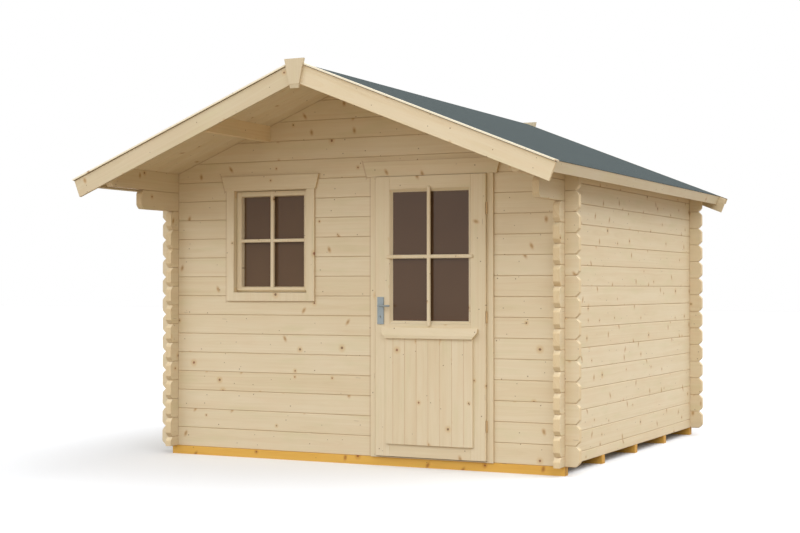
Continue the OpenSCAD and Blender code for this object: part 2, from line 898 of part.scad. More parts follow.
module handle_plates()
    color([0.58, 0.63, 0.67])
        for (face = [leaf_y0 - plate_t, leaf_y1 + fit])
            difference() {
                board(
                    [lever_x - plate_w / 2, face, lever_at + plate_up - plate_h],
                    [lever_x + plate_w / 2, face + plate_t - fit, lever_at + plate_up]
                );
                translate([lever_x, face - 1, lever_at])
                    rotate([-90, 0, 0]) cylinder(r = neck_r + pin_play, h = plate_t + 2);
                translate([lever_x, face - 1, lever_at - key_down])
                    rotate([-90, 0, 0]) cylinder(r = key_r, h = plate_t + 2);
                translate([lever_x - key_r / 2, face - 1, lever_at - key_down - key_r * 3])
                    cube([key_r, plate_t + 2, key_r * 3]);
            }

// A round rod with a domed tip, from the origin along +X
module grip(r, length)
    rotate([0, 90, 0])
        rotate_extrude()
            polygon(concat(
                [[0, 0], [r, 0]],
                [for (a = [0 : 15 : 75]) [r * cos(a), length - r + r * sin(a)]],
                [[0, length]]
            ));

module door_lever() {
    front = leaf_y0 - plate_t - neck_l;
    back = leaf_y1 + plate_t + neck_l;
    color([0.56, 0.61, 0.66])
        translate([lever_x, 0, lever_at]) {
            translate([0, front, 0]) rotate([-90, 0, 0]) cylinder(r = spindle_r, h = back - front);
            for (y = [front - grip_r - 1, leaf_y1 + 2 * fit])
                translate([0, y, 0]) rotate([-90, 0, 0])
                    cylinder(r = neck_r, h = plate_t + neck_l + grip_r + 1 - 2 * fit);
            for (y = [front, back]) translate([0, y, 0]) grip(grip_r, lever_l);
        }
}

foundation_beams();
floor_boards();
front_wall_left();
front_wall_right();
front_gable();
rear_wall();
rear_gable();
left_wall();
right_wall();
left_purlin();
ridge_purlin();
right_purlin();
roof_boards_left();
roof_boards_right();
roof_felt_left();
roof_felt_right();
barge_front_left();
barge_front_right();
barge_rear_left();
barge_rear_right();
verge_strips_front();
verge_strips_rear();
apex_board_front();
apex_board_rear();
eaves_board_left();
eaves_board_right();
window_frame();
window_sash();
window_beads();
window_glass();
window_trim();
window_head_board();
door_frame();
door_stops();
door_threshold();
door_head_board();
hinge_frame_halves();
door_leaf();
door_beads();
door_glass();
door_panel();
door_drip_board();
hinge_door_halves();
handle_plates();
door_lever();
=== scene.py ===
"""Looks of a log-built garden house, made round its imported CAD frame. Metres, +Z up."""

import logging
import math
from collections.abc import Mapping, Sequence
from dataclasses import dataclass
from enum import Enum

import bmesh
import bpy
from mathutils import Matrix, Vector


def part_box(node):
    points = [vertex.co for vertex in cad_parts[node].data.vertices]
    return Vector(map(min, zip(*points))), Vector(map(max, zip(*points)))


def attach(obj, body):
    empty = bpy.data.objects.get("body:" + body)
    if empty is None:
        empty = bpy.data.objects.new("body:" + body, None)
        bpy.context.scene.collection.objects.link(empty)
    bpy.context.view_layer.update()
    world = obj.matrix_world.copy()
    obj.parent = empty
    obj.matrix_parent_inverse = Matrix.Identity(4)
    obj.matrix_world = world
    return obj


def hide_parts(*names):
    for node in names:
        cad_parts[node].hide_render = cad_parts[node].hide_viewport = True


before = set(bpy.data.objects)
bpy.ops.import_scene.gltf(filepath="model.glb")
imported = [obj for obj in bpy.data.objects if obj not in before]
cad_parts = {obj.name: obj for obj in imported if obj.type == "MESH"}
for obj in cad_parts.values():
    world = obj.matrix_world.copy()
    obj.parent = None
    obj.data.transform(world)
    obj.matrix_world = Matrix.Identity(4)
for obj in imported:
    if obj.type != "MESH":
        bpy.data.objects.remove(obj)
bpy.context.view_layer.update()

LOG = logging.getLogger("garden_house")
Colour = tuple[float, float, float, float]
Point = tuple[float, float]
Socket = bpy.types.NodeSocket
Settings = Mapping[str, object]
Sockets = Mapping[str | int, object]

MIX_A, MIX_B, MIX_OUT = 6, 7, 2      # sockets of a Mix node that mixes colours
LOG_PITCH = 0.135                    # height of one log course
BEAM_TOP = 0.058                     # height of the foundation beams
ROOF_PITCH = math.radians(21.8)      # pitch of the roof
END_ON = (0.6, 0.9)                  # share of a face's normal from which it is an end face
HAIR = 0.0002                        # clearance between pieces that meet


def colour(code: str) -> Colour:
    """Turns a colour as it looks on a screen into linear light.

    Args:
        code: Six hexadecimal digits, red, green and blue.

    Returns:
        Linear red, green, blue and an alpha of 1.
    """
    parts = [int(code[i : i + 2], 16) / 255 for i in (0, 2, 4)]
    linear = [p / 12.92 if p <= 0.04045 else ((p + 0.055) / 1.055) ** 2.4 for p in parts]
    return (linear[0], linear[1], linear[2], 1.0)


class Way(Enum):
    """Directions in which grain runs or boards lie side by side."""

    X = Vector((1, 0, 0))
    Y = Vector((0, 1, 0))
    Z = Vector((0, 0, 1))
    SLOPE = Vector((math.cos(ROOF_PITCH), 0, -math.sin(ROOF_PITCH)))
    OFF_SLOPE = Vector((math.sin(ROOF_PITCH), 0, math.cos(ROOF_PITCH)))


# ---- Shader building -------------------------------------------------------------------


class Num:
    """A number socket on which Python expressions add Math nodes."""

    def __init__(self, graph: "Graph", socket: Socket) -> None:
        """Keeps the socket and the graph that it belongs to."""
        self.graph = graph
        self.socket = socket

    def math(self, operation: str, *others: "Num | float", first: bool = True) -> "Num":
        """Adds a Math node.

        Args:
            operation: The node's operation.
            others: The other operands.
            first: Whether this number comes before the others.

        Returns:
            The node's result.
        """
        operands = (self, *others) if first else (*others, self)
        return self.graph.number("Math", {"operation": operation}, dict(enumerate(operands)))

    def __add__(self, other: "Num | float") -> "Num":
        """Adds."""
        return self.math("ADD", other)

    __radd__ = __add__

    def __mul__(self, other: "Num | float") -> "Num":
        """Multiplies."""
        return self.math("MULTIPLY", other)

    __rmul__ = __mul__

    def __sub__(self, other: "Num | float") -> "Num":
        """Subtracts the other from this."""
        return self.math("SUBTRACT", other)

    def __rsub__(self, other: "Num | float") -> "Num":
        """Subtracts this from the other."""
        return self.math("SUBTRACT", other, first=False)

    def __truediv__(self, other: "Num | float") -> "Num":
        """Divides this by the other."""
        return self.math("DIVIDE", other)

    def __rtruediv__(self, other: "Num | float") -> "Num":
        """Divides the other by this."""
        return self.math("DIVIDE", other, first=False)

    def __pow__(self, other: "Num | float") -> "Num":
        """Raises this to a power."""
        return self.math("POWER", other)

    def __rpow__(self, other: "Num | float") -> "Num":
        """Raises the other to this power."""
        return self.math("POWER", other, first=False)

    def __gt__(self, other: "Num | float") -> "Num":
        """Gives 1 where this is over the other, else 0."""
        return self.math("GREATER_THAN", other)

    def __lt__(self, other: "Num | float") -> "Num":
        """Gives 1 where this is under the other, else 0."""
        return self.math("LESS_THAN", other)

    def __abs__(self) -> "Num":
        """Gives the size without the sign."""
        return self.math("ABSOLUTE")

    def __floor__(self) -> "Num":
        """Rounds down."""
        return self.math("FLOOR")

    def towards(self, other: "Num | float", share: "Num | float") -> "Num":
        """Moves from this towards the other by a share."""
        return self + (other - self) * share

    def step(self, start: "Num | float", end: "Num | float") -> "Num":
        """Gives a smooth ramp.

        Args:
            start: Where the ramp is still 0.
            end: Where it reaches 1.

        Returns:
            The ramp, from 0 to 1.
        """
        return self.graph.number(
            "MapRange",
            {"interpolation_type": "SMOOTHSTEP"},
            {"Value": self, "From Min": start, "From Max": end},
        )


class Graph:
    """The node tree of a material or of the sky."""

    def __init__(self, owner: bpy.types.Material | bpy.types.World) -> None:
        """Empties the node tree of a new material or world.

        Args:
            owner: The material or world.
        """
        owner.use_nodes = True
        self.owner = owner
        self.tree = owner.node_tree
        self.tree.nodes.clear()

    def node(
        self,
        kind: str,
        settings: Settings | None = None,
        sockets: Sockets | None = None,
    ) -> bpy.types.Node:
        """Adds a node, sets it up, then fills its sockets.

        Args:
            kind: Type of the node, without its ShaderNode prefix.
            settings: Properties of the node; "stops" holds a ramp's places and colours.
            sockets: Values or links by socket name or number.

        Returns:
            The node.
        """
        made = self.tree.nodes.new("ShaderNode" + kind)
        for key, value in (settings or {}).items():
            if key == "stops":
                self._stops(made.color_ramp.elements, value)
            else:
                setattr(made, key, value)
        for key, value in (sockets or {}).items():
            link = value.socket if isinstance(value, Num) else value
            if isinstance(link, Socket):
                self.tree.links.new(link, made.inputs[key])
            else:
                made.inputs[key].default_value = link
        return made

    @staticmethod
    def _stops(elements: object, stops: Sequence[tuple[float, Colour]]) -> None:
        """Sets the places and colours of a ramp.

        Args:
            elements: The ramp's elements.
            stops: The places and colours, in order.
        """
        while len(elements) < len(stops):
            elements.new(0.5)
        for element, (place, shade) in zip(elements, stops):
            element.position = place
            element.color = shade

    def number(
        self,
        kind: str,
        settings: Settings | None = None,
        sockets: Sockets | None = None,
        output: str | int = 0,
    ) -> Num:
        """Adds a node and wraps one of its outputs as a number."""
        return Num(self, self.node(kind, settings, sockets).outputs[output])

    def vector(self, x: Num | float, y: Num | float, z: Num | float) -> Socket:
        """Joins three numbers into a vector."""
        return self.node("CombineXYZ", sockets={0: x, 1: y, 2: z}).outputs[0]

    def split(self, vector: Socket) -> tuple[Num, Num, Num]:
        """Splits a vector into three numbers."""
        made = self.node("SeparateXYZ", sockets={0: vector})
        return tuple(Num(self, made.outputs[i]) for i in range(3))

    def dot(self, vector: Socket, way: Vector) -> Num:
        """Measures a vector along a direction.

        Args:
            vector: The vector.
            way: The direction.

        Returns:
            The length along it.
        """
        return self.number(
            "VectorMath", {"operation": "DOT_PRODUCT"}, {0: vector, 1: way[:]}, output="Value"
        )

    def noise(self, place: Socket, detail: float = 2.0, rough: float = 0.5) -> Num:
        """Adds smooth noise of size one round zero.

        Args:
            place: The place, in noise cells.
            detail: Octaves of finer noise.
            rough: Strength of the finer noise.

        Returns:
            A number from about -0.5 to 0.5.
        """
        sockets = {"Vector": place, "Scale": 1.0, "Detail": detail, "Roughness": rough}
        return self.number("TexNoise", {"noise_dimensions": "3D"}, sockets) - 0.5

    def grit(
        self,
        place: Socket,
        cells: tuple[float, float, float],
        detail: float = 2.0,
        rough: float = 0.5,
    ) -> Num:
        """Adds noise with a number of cells for each metre along X, Y and Z."""
        scaled = (part * count for part, count in zip(self.split(place), cells))
        return self.noise(self.vector(*scaled), detail, rough)

    def mix(self, share: Num | float, a: object, b: object) -> Socket:
        """Mixes two colours.

        Args:
            share: Share of the second colour.
            a: First colour or link.
            b: Second colour or link.

        Returns:
            The mixed colour's socket.
        """
        settings = {"data_type": "RGBA", "blend_type": "MIX", "clamp_factor": True}
        return self.node("Mix", settings, {0: share, MIX_A: a, MIX_B: b}).outputs[MIX_OUT]

    def bump(self, height: Num, depth: float, strength: float = 1.0) -> Socket:
        """Turns a height into a normal; depth is in metres."""
        sockets = {"Height": height, "Distance": depth, "Strength": strength}
        return self.node("Bump", sockets=sockets).outputs[0]

    def principled(self, **sockets: object) -> bpy.types.Material:
        """Ends the graph in a Principled shader.

        Args:
            sockets: Values or links by the socket's name, with underscores for spaces.

        Returns:
            The finished material.
        """
        named = {key.replace("_", " "): value for key, value in sockets.items()}
        shader = self.node("BsdfPrincipled", sockets=named)
        self.node("OutputMaterial", sockets={"Surface": shader.outputs[0]})
        return self.owner


# ---- Finishes --------------------------------------------------------------------------


class Finish:
    """A finish that can be put on CAD nodes."""

    def material(self) -> bpy.types.Material:
        """Builds the finish's material."""
        raise NotImplementedError

    def dress(self, *nodes: str) -> None:
        """Gives CAD nodes the finish.

        Args:
            nodes: Names of the nodes.
        """
        material = self.material()
        for name in nodes:
            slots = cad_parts[name].data.materials
            slots.clear()
            slots.append(material)
            LOG.info("%s wears %s", name, material.name)


@dataclass(frozen=True)
class Tones:
    """Colours of one kind of timber, and of the shade painted along its joints and round what
    stands against it.
    """

    pale: Colour = colour("EADFC6")
    straw: Colour = colour("DFCFAF")
    tan: Colour = colour("CFB88F")
    blush: Colour = colour("DFC3A2")
    sage: Colour = colour("D3CBA2")
    end: Colour = colour("E0CAA0")
    ring: Colour = colour("C7A878")
    # Colour of the shade painted along joints and round what stands against the walls.
    seam: Colour = colour("A2764A")
    halo: Colour = colour("CDA768")
    smudge: Colour = colour("BC8F52")
    knot: Colour = colour("5E4833")
    red_knot: Colour = colour("8F5540")
    pin: Colour = colour("70502F")


def palette(*codes: str) -> Tones:
    """Gives tones whose first colours, in the order of their fields, come from codes."""
    return Tones(*map(colour, codes))


TRIM = palette("DCD1B9", "D1C2A3", "C3AD88", "D2B797")
FRESH = palette("E8DDC4", "DECDAC", "CDB68E", "DDC2A0")
# Paler palette for the purlins, as painted light where they sit in the shade under the roof.
PURLIN_LIT = palette("F2E3C6", "E9D4AE", "DABD90", "E9C9A2")
# Near-white palette that paints the lit look of the front verge strips as a painted highlight.
HIGHLIT_CREAM = palette("F6F0DE", "F1E8D0", "E6D8B8", "EEDFC4", "ECE6CA", "F0E6CC", "E0CFA8")
GOLDEN = palette(
    "EBC168", "E3B355", "CC923A", "DFA648", "D9B552", "C6933F", "AE772E", "8A5A28", "A9642A",
    "A0602A", "7A3E20", "8E3F1E",
)


@dataclass(frozen=True)
class Layer:
    """A layer of noise in the timber.

    Attributes:
        along: Cells for each metre along the grain.
        over: Cells for each metre over the rings or across the boards.
        apart: Cells by which one board or depth differs from the next.
        shift: Cells by which the layer starts later.
    """

    along: float
    over: float
    apart: float
    shift: float = 0.0
    detail: float = 2.0
    rough: float = 0.5

    def noise(self, g: Graph, u: Num, over: Num, apart: Num, start: Num | float = 1.0) -> Num:
        """Adds the layer.

        Args:
            g: The graph.
            u: Place along the grain.
            over: Place over the rings or across the boards.
            apart: What tells boards or depths apart.
            start: Share of the shift.

        Returns:
            A number from about -0.5 to 0.5.
        """
        run = u * self.along
        if self.shift:
            run = run + start * self.shift
        return g.noise(g.vector(run, over * self.over, apart * self.apart), self.detail, self.rough)


WARP = Layer(along=1.1, over=5.0, apart=5.0, shift=50.0)
STREAK = Layer(along=0.55, over=95.0, apart=3.7, shift=20.0, detail=3.0, rough=0.6)
FINE = Layer(along=4.0, over=620.0, apart=1.3, shift=9.0, rough=0.6)
CLOUD = Layer(along=2.3, over=9.0, apart=30.0)
FLUSH = Layer(along=3.1, over=14.0, apart=20.0, shift=7.0)


@dataclass(frozen=True)
class Specks:
    """Marks scattered over the face, at most one to a cell.

    Attributes:
        along: Cells for each metre along the grain.
        across: Cells for each metre across it.
        stray: How far the marks stray from rows.
        least: Radius of the smallest mark.
        more: What the largest one has more.
    """

    along: float
    across: float
    stray: float
    least: float
    more: float

    def cells(self, g: Graph, u: Num, v: Num) -> tuple[Num, ...]:
        """Finds the nearest mark.

        Args:
            g: The graph.
            u: Place along the grain.
            v: Place across the grain.

        Returns:
            The ways from the mark along and across, and three random numbers of its own.
        """
        cells = g.node(
            "TexVoronoi",
            {"voronoi_dimensions": "2D"},
            {
                "Vector": g.vector(u * self.along, v * self.across, 0.0),
                "Scale": 1.0,
                "Randomness": self.stray,
            },
        )
        mark = g.split(cells.outputs["Position"])
        ways = (u - mark[0] / self.along, v - mark[1] / self.across)
        return (*ways, *g.split(cells.outputs["Color"]))


KNOTS = Specks(along=3.4, across=8.0, stray=0.9, least=0.0062, more=0.0065)
PINS = Specks(along=7.0, across=14.0, stray=1.0, least=0.0034, more=0.0028)


@dataclass(frozen=True)
class Show:
    """How strongly each thing in the timber shows; most are shares of the tone they are named by.

    Attributes:
        base: Tone where nothing changes it, from 0 for pale to 1 for tan.
        streak: What broad streaks add to the tone.
        fine: What fine streaks and clouds add to it.
        board: Spread of tone between boards.
        ring: Contrast of the year rings on end faces, round ring_base.
        core: Strength of a smudge's dark middle.
        rough: Roughness of clear wood.
        gloss: What roughness gains in streaks and loses in knots.
    """

    base: float = 0.46
    streak: float = 0.55
    fine: float = 0.3
    board: float = 0.16
    blush: float = 0.18
    sage: float = 0.3
    end: float = 0.6
    ring: float = 1.3
    ring_base: float = 0.14
    halo: float = 0.42
    smudge: float = 0.7
    core: float = 0.22
    knot: float = 0.85
    pin: float = 0.7
    # line: strength of the shade painted along joints, round what stands against a wall and under
    # the roof.
    line: float = 0.3
    rough: float = 0.62
    gloss: float = 0.12


SHOW = Show()


@dataclass(frozen=True)
class Seam:
    """Outline of something that stands against a wall, round which a thin line of painted shade is
    drawn on the wall, widened on its left into a painted shadow.

    Attributes:
        left: Left edge at its foot.
        right: Right edge at its foot.
        foot: Height of its foot.
        top: Height of its top.
        lean: How far each side leans outwards for each metre of height.
        depth: How far it stands out from the wall, which sets the width of the painted shadow on
            its left.
    """

    left: float
    right: float
    foot: float
    top: float
    lean: float = 0.0
    depth: float = 0.0

    @classmethod
    def round_node(cls, name: str, face: float, gap: float = 0.002) -> "Seam":
        """Measures a node as it stands against a wall that runs along X.

        Args:
            name: The node.
            face: Place of the wall's front face along Y.
            gap: Clear distance between the node and the line of painted shade.

        Returns:
            The outline.
        """
        low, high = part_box(name)
        verts = [vert.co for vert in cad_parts[name].data.vertices]
        at_foot = [co.x for co in verts if co.z < low.z + 2 * gap]
        lean = (high.x - max(at_foot)) / (high.z - low.z)
        depth = face - low.y
        return cls(min(at_foot) - gap, max(at_foot) + gap, low.z - gap, high.z + gap, lean, depth)


LEFT_SHADE = 0.74                    # width of the painted shadow left of what stands out, by its depth
SHADE_LINE, SHADE_LINE_EDGE = 0.0048, 0.0032     # half width of the other painted shade lines, and of their soft edge
ROOF_SHADE = (0.010, 0.004)           # where the painted shade line under the roof starts and is full
HEART_ASIDE, HEART_DEEP = 0.09, 0.11     # how far the heart strays across and through a board
RIFT = 0.8                           # how far hearts are pushed towards one face or the other
SIDE_STEP = 7.0                      # cells between the boards of one side and of the other
RING_WARP, RING_SWELL = 0.03, 0.005  # how far rings waver, and give way round a knot
GRAIN_DEPTH = 0.0005                 # relief of the grain
KNOT_SHIFT, PIN_SHIFT = (40.0, 0.3), (30.0, 0.2)     # shift of each board's, along and across
KNOT_SHARE, SMUDGE_SHARE = 0.56, 0.46    # share of the cells taken where knots is 1
HALO_REACH = 3.2                     # radius of a halo by its knot's
RAGGED, RAGGED_DEPTH = 110.0, 0.005  # bumps in a knot's edge for each metre, and their size
SMUDGE_REACH = (0.034, 0.003)        # radius at which a smudge starts and is full
SLANT, SQUEEZE = 1.1, 1.6            # how far smudges lean, and how much shorter they are
PIN_SHARE, DASH_SHARE = 0.32, 0.015  # share of the cells that hold a pin or a dash
DASH_WIDE, DASH_LONG = (0.0018, 0.0006), (0.024, 0.012)  # where a dash starts and is full


@dataclass(frozen=True)
class Timber(Finish):
    """Planed softwood whose year rings run round an axis beside each board.

    Attributes:
        name: Name of the material.
        along: Direction of the grain.
        across: Direction in which the boards or logs lie beside each other.
        heart: Place of the boards' middle in the third direction.
        pitch: Width of one board or log.
        start: Place of a joint between two boards.
        seed: Changes the boards' pattern.
        level: Heights under and over which the grain lies along X instead.
        knots: Share of the knot cells that hold a dark knot or a soft smudge.
        seam: Width of the painted shade line beside each joint; 0 for none.
        shade_outlines: Outlines of what stands against the wall, round which shade is painted.
        roof: Height of the roof's underside at the ridge, where it meets the wall and a line of
            shade is painted under it; 0 for none.
        mirrored: Whether the left half repeats the right one's directions.
        tones: Colours of the timber.
    """

    name: str
    along: Way
    across: Way
    heart: float
    pitch: float = LOG_PITCH
    start: float = 0.0
    seed: int = 1
    level: Point | None = None
    knots: float = 0.5
    seam: float = 0.0
    shade_outlines: tuple[Seam, ...] = ()
    roof: float = 0.0
    mirrored: bool = False
    tones: Tones = Tones()

    def material(self) -> bpy.types.Material:
        """Builds the timber's material.

        Returns:
            The material.
        """
        g = Graph(bpy.data.materials.new(self.name))
        u, v, w, depth, facing, side, line = self._directions(g)
        board = math.floor((v - self.start) / self.pitch)
        local = v - (board + 0.5) * self.pitch - self.start
        own = g.vector(board, side * SIDE_STEP, float(self.seed))
        chance = g.node("TexWhiteNoise", {"noise_dimensions": "3D"}, {"Vector": own})
        first, second, third = g.split(chance.outputs["Color"])
        along, across = KNOT_SHIFT
        knot, halo, smudge, red = self._knots(g, u + first * along, v + board * across)
        along, across = PIN_SHIFT
        pin = self._pins(g, u + second * along, v + board * across)

        heart_v = (first - 0.5) * HEART_ASIDE
        heart_w = (second - 0.5).towards((second > 0.5) * (2 * RIFT) - RIFT, 0.5) * HEART_DEEP
        ring = ((local - heart_v) ** 2.0 + (depth - heart_w) ** 2.0) ** 0.5
        ring = ring + WARP.noise(g, u, v, w, third) * RING_WARP + halo * RING_SWELL
        streak = STREAK.noise(g, u, ring, board, third)
        fine = FINE.noise(g, u, ring, board, third)
        cloud = CLOUD.noise(g, u, v, first)
        flush = FLUSH.noise(g, u, v, second)

        wood = SHOW.base + streak * SHOW.streak + fine * SHOW.fine + cloud * SHOW.fine
        wood = wood + (third - 0.5) * SHOW.board
        tones = self.tones
        stops = [(0.0, tones.pale), (0.5, tones.straw), (1.0, tones.tan)]
        shade = g.node("ValToRGB", {"stops": stops}, {0: wood}).outputs[0]
        end = facing.step(*END_ON)
        flat = 1.0 - end
        tints = [
            (flush.step(0.0, 0.26) * SHOW.blush, tones.blush),
            ((0.0 - flush).step(0.02, 0.26) * SHOW.sage, tones.sage),
            (end * SHOW.end, tones.end),
            (end * (fine * SHOW.ring + SHOW.ring_base), tones.ring),
            (halo * flat * SHOW.halo, tones.halo),
            (smudge * flat * SHOW.smudge, tones.smudge),
            ((smudge - 0.6).step(0.0, 0.4) * flat * SHOW.core, tones.knot),
            (knot * flat * SHOW.knot, g.mix(red, tones.knot, tones.red_knot)),
            (pin * flat * SHOW.pin, tones.pin),
        ]
        # Painted shade: a darker line in the joints between boards, round what stands against the
        # wall and under the roof.
        if self.seam:
            joint = (self.pitch / 2 - abs(local)).step(self.seam, self.seam * 0.35)
            line = joint if line is None else line.math("MAXIMUM", joint)
        if line is not None:
            tints.append((line * flat * SHOW.line, tones.seam))
        for share, tone in tints:
            shade = g.mix(share, shade, tone)
        return g.principled(
            Base_Color=shade,
            Roughness=SHOW.rough + streak * SHOW.gloss - knot * SHOW.gloss,
            Specular_IOR_Level=0.3,
            Normal=g.bump(streak * 0.4 + fine + knot * 0.4, GRAIN_DEPTH, 0.55),
        )

    def _directions(self, g: Graph) -> tuple[Num | float | None, ...]:
        """Measures a place in the timber's own directions.

        Args:
            g: The graph.

        Returns:
            Places along the grain, across the boards and through them, the depth from the heart,
            how squarely the face cuts the grain, what tells the halves or the level pieces
            apart, and the mask of the painted shade lines.
        """
        coord = g.node("TexCoord")
        place, normal = coord.outputs["Object"], coord.outputs["Normal"]
        side: Num | float = 0.0
        if self.mirrored:
            x, y, z = g.split(place)
            side = x > 0.0
            place = g.vector(abs(x), y, z)
            x, y, z = g.split(normal)
            normal = g.vector(x * (side * 2 - 1), y, z)
        along, across = self.along.value, self.across.value
        through = along.cross(across)
        u, v, w = (g.dot(place, way) for way in (along, across, through))
        depth = w - self.heart * (1 if sum(through) > 0 else -1)
        facing = abs(g.dot(normal, along))
        if self.level:
            z = g.split(place)[2]
            side = (z < self.level[0]) + (z > self.level[1])
            facing = facing.towards(abs(g.dot(normal, across)), side)
            u, v = u.towards(v, side), v.towards(u, side)
        return u, v, w, depth, facing, side, self._shade_lines(g, place)

    def _shade_lines(self, g: Graph, place: Socket) -> Num | None:
        """Marks thin lines of painted shade where other parts and the roof meet the wall, widened
        into a painted shadow left of what stands out.

        Args:
            g: The graph.
            place: The place on the wall.

        Returns:
            The lines' mask, or None where the wall has none.
        """
        run, _, height = g.split(place)
        if self.along is Way.Y:
            run = g.split(place)[1]
        lines = []
        for seam in self.shade_outlines:
            half, middle_x = (seam.right - seam.left) / 2, (seam.right + seam.left) / 2
            lean = (height - seam.foot).math("MAXIMUM", 0.0) * seam.lean
            beside = abs(run - middle_x) - half - lean
            above = abs(height - (seam.foot + seam.top) / 2) - (seam.top - seam.foot) / 2
            # Left of what stands out, the painted shade widens into a painted shadow by its depth.
            shaded = (run < middle_x) * (beside - above > 0.0)
            reach = shaded * (seam.depth * LEFT_SHADE) + SHADE_LINE
            lines.append(abs(beside.math("MAXIMUM", above)).step(reach, reach - SHADE_LINE_EDGE))
        # A line of painted shade in the crease under the roof's boards.
        if self.roof:
            under = self.roof - height - abs(run) * math.tan(ROOF_PITCH)
            lines.append(under.step(*ROOF_SHADE))
        if not lines:
            return None
        joined = lines[0]
        for line in lines[1:]:
            joined = joined.math("MAXIMUM", line)
        return joined

    def _knots(self, g: Graph, u: Num, v: Num) -> tuple[Num, Num, Num, Num]:
        """Scatters dark branch knots and soft smudges over the face.

        Args:
            g: The graph.
            u: Place along the grain.
            v: Place across the grain.

        Returns:
            Masks of the knots, their halos and the smudges, and how red each knot is.
        """
        du, dv, one, two, three = KNOTS.cells(g, u, v)
        ripple = g.vector(u * RAGGED, v * RAGGED, three * 9.0)
        wobble = g.noise(ripple, 1.0) * RAGGED_DEPTH
        away = (du ** 2.0 + dv ** 2.0) ** 0.5 + wobble
        size = KNOTS.least + three ** 2.0 * KNOTS.more
        there = one < self.knots * KNOT_SHARE
        knot = away.step(size, size * 0.5) * there
        halo = away.step(size * HALO_REACH, size * 0.9) * there
        slant = (du + dv * (two - 0.5) * SLANT) * SQUEEZE
        long = (slant ** 2.0 + dv ** 2.0) ** 0.5 + wobble * 1.4
        smudge = long.step(*SMUDGE_REACH) * (one > 1.0 - self.knots * SMUDGE_SHARE)
        return knot, halo, smudge, two

    @staticmethod
    def _pins(g: Graph, u: Num, v: Num) -> Num:
        """Scatters pin knots and a few thin dashes along the grain.

        Args:
            g: The graph.
            u: Place along the grain.
            v: Place across the grain.

        Returns:
            Their mask.
        """
        du, dv, one, two, _ = PINS.cells(g, u, v)
        away = (du ** 2.0 + dv ** 2.0) ** 0.5
        size = PINS.least + two * PINS.more
        pin = away.step(size, size * 0.4) * (one < PIN_SHARE)
        dash = abs(dv + du * 0.05).step(*DASH_WIDE) * abs(du).step(*DASH_LONG)
        return pin + dash * (one > 1.0 - DASH_SHARE) * 0.7


@dataclass(frozen=True)
class Felt(Finish):
    """Mineral roofing felt: slate granules with a faint mottle, and the verge strips' shadow
    painted on its gable edges.

    Attributes:
        name: Name of the material.
        body: Colour of most granules.
        light: Colour of the light ones.
        dark: Colour of the dark ones.
        strip_shadow: Colour painted on the cut edge along the gables, as the shadow under the verge
            strips.
        granules: Granules for each metre.
        patches: Patches of the mottle for each metre.
    """

    name: str = "slate_felt"
    body: Colour = colour("3D4748")
    light: Colour = colour("535F5E")
    dark: Colour = colour("2B3231")
    strip_shadow: Colour = colour("6B5640")
    granules: float = 420.0
    patches: float = 9.0

    def material(self) -> bpy.types.Material:
        """Builds the felt's material.

        Returns:
            The material.
        """
        g = Graph(bpy.data.materials.new(self.name))
        coord = g.node("TexCoord")
        place = coord.outputs["Object"]
        grit = g.grit(place, (self.granules,) * 3, 2.0, 0.7)
        mottle = g.grit(place, (self.patches,) * 3, 3.0)
        uneven = grit * 2.6 + mottle * 0.5
        at_gable = abs(g.dot(coord.outputs["Normal"], Way.Y.value)).step(*END_ON)
        shade = g.mix(uneven.step(0.05, 0.9), self.body, self.light)
        shade = g.mix((0.0 - uneven).step(0.05, 0.9), shade, self.dark)
        # Painted shadow of the verge strips on the felt's gable edges.
        shade = g.mix(at_gable, shade, self.strip_shadow)
        return g.principled(
            Base_Color=shade,
            Roughness=0.9 + mottle * 0.08,
            Specular_IOR_Level=0.2,
            Normal=g.bump(grit, 0.0012),
        )


@dataclass(frozen=True)
class Pane(Finish):
    """Glass, clear in itself, whose colour paints in the shade of the dark room behind it and lets
    little of the room through, with a faint film of so many patches a metre.
    """

    name: str
    # The body and film colours paint the dark room's shade into the glass.
    body: Colour = colour("57402C")
    film: Colour = colour("604832")
    patches: float = 3.0

    def material(self) -> bpy.types.Material:
        """Builds the glass's material.

        Returns:
            The material.
        """
        g = Graph(bpy.data.materials.new(self.name))
        film = g.grit(g.node("TexCoord").outputs["Object"], (self.patches,) * 3)
        return g.principled(
            Base_Color=g.mix(0.5 + film * 0.8, self.body, self.film),
            Roughness=0.06 + film * 0.03,
            IOR=1.45,
            Specular_IOR_Level=0.32,
            Alpha=0.95,
            Normal=g.bump(film, 0.0004),
        )


@dataclass(frozen=True)
class Metal(Finish):
    """Satin metal brushed along Z.

    Attributes:
        name: Name of the material.
        body: Colour of the metal.
        worn: Colour where it is worn.
        brushed: Brush marks for each metre along X, Y and Z.
        patches: Worn patches for each metre.
    """

    name: str = "satin_steel"
    body: Colour = colour("8F9798")
    worn: Colour = colour("7C8486")
    metallic: float = 0.5
    rough: float = 0.42
    brushed: tuple[float, float, float] = (2600.0, 2600.0, 40.0)
    patches: float = 30.0

    def material(self) -> bpy.types.Material:
        """Builds the metal's material.

        Returns:
            The material.
        """
        g = Graph(bpy.data.materials.new(self.name))
        place = g.node("TexCoord").outputs["Object"]
        brush = g.grit(place, self.brushed)
        worn = g.grit(place, (self.patches,) * 3, 3.0)
        return g.principled(
            Base_Color=g.mix(0.5 + brush * 0.4 + worn * 0.6, self.body, self.worn),
            Metallic=self.metallic,
            Roughness=self.rough + brush * 0.12 + worn * 0.1,
            Normal=g.bump(brush, 0.00005),
        )


# ---- Mesh building ---------------------------------------------------------------------


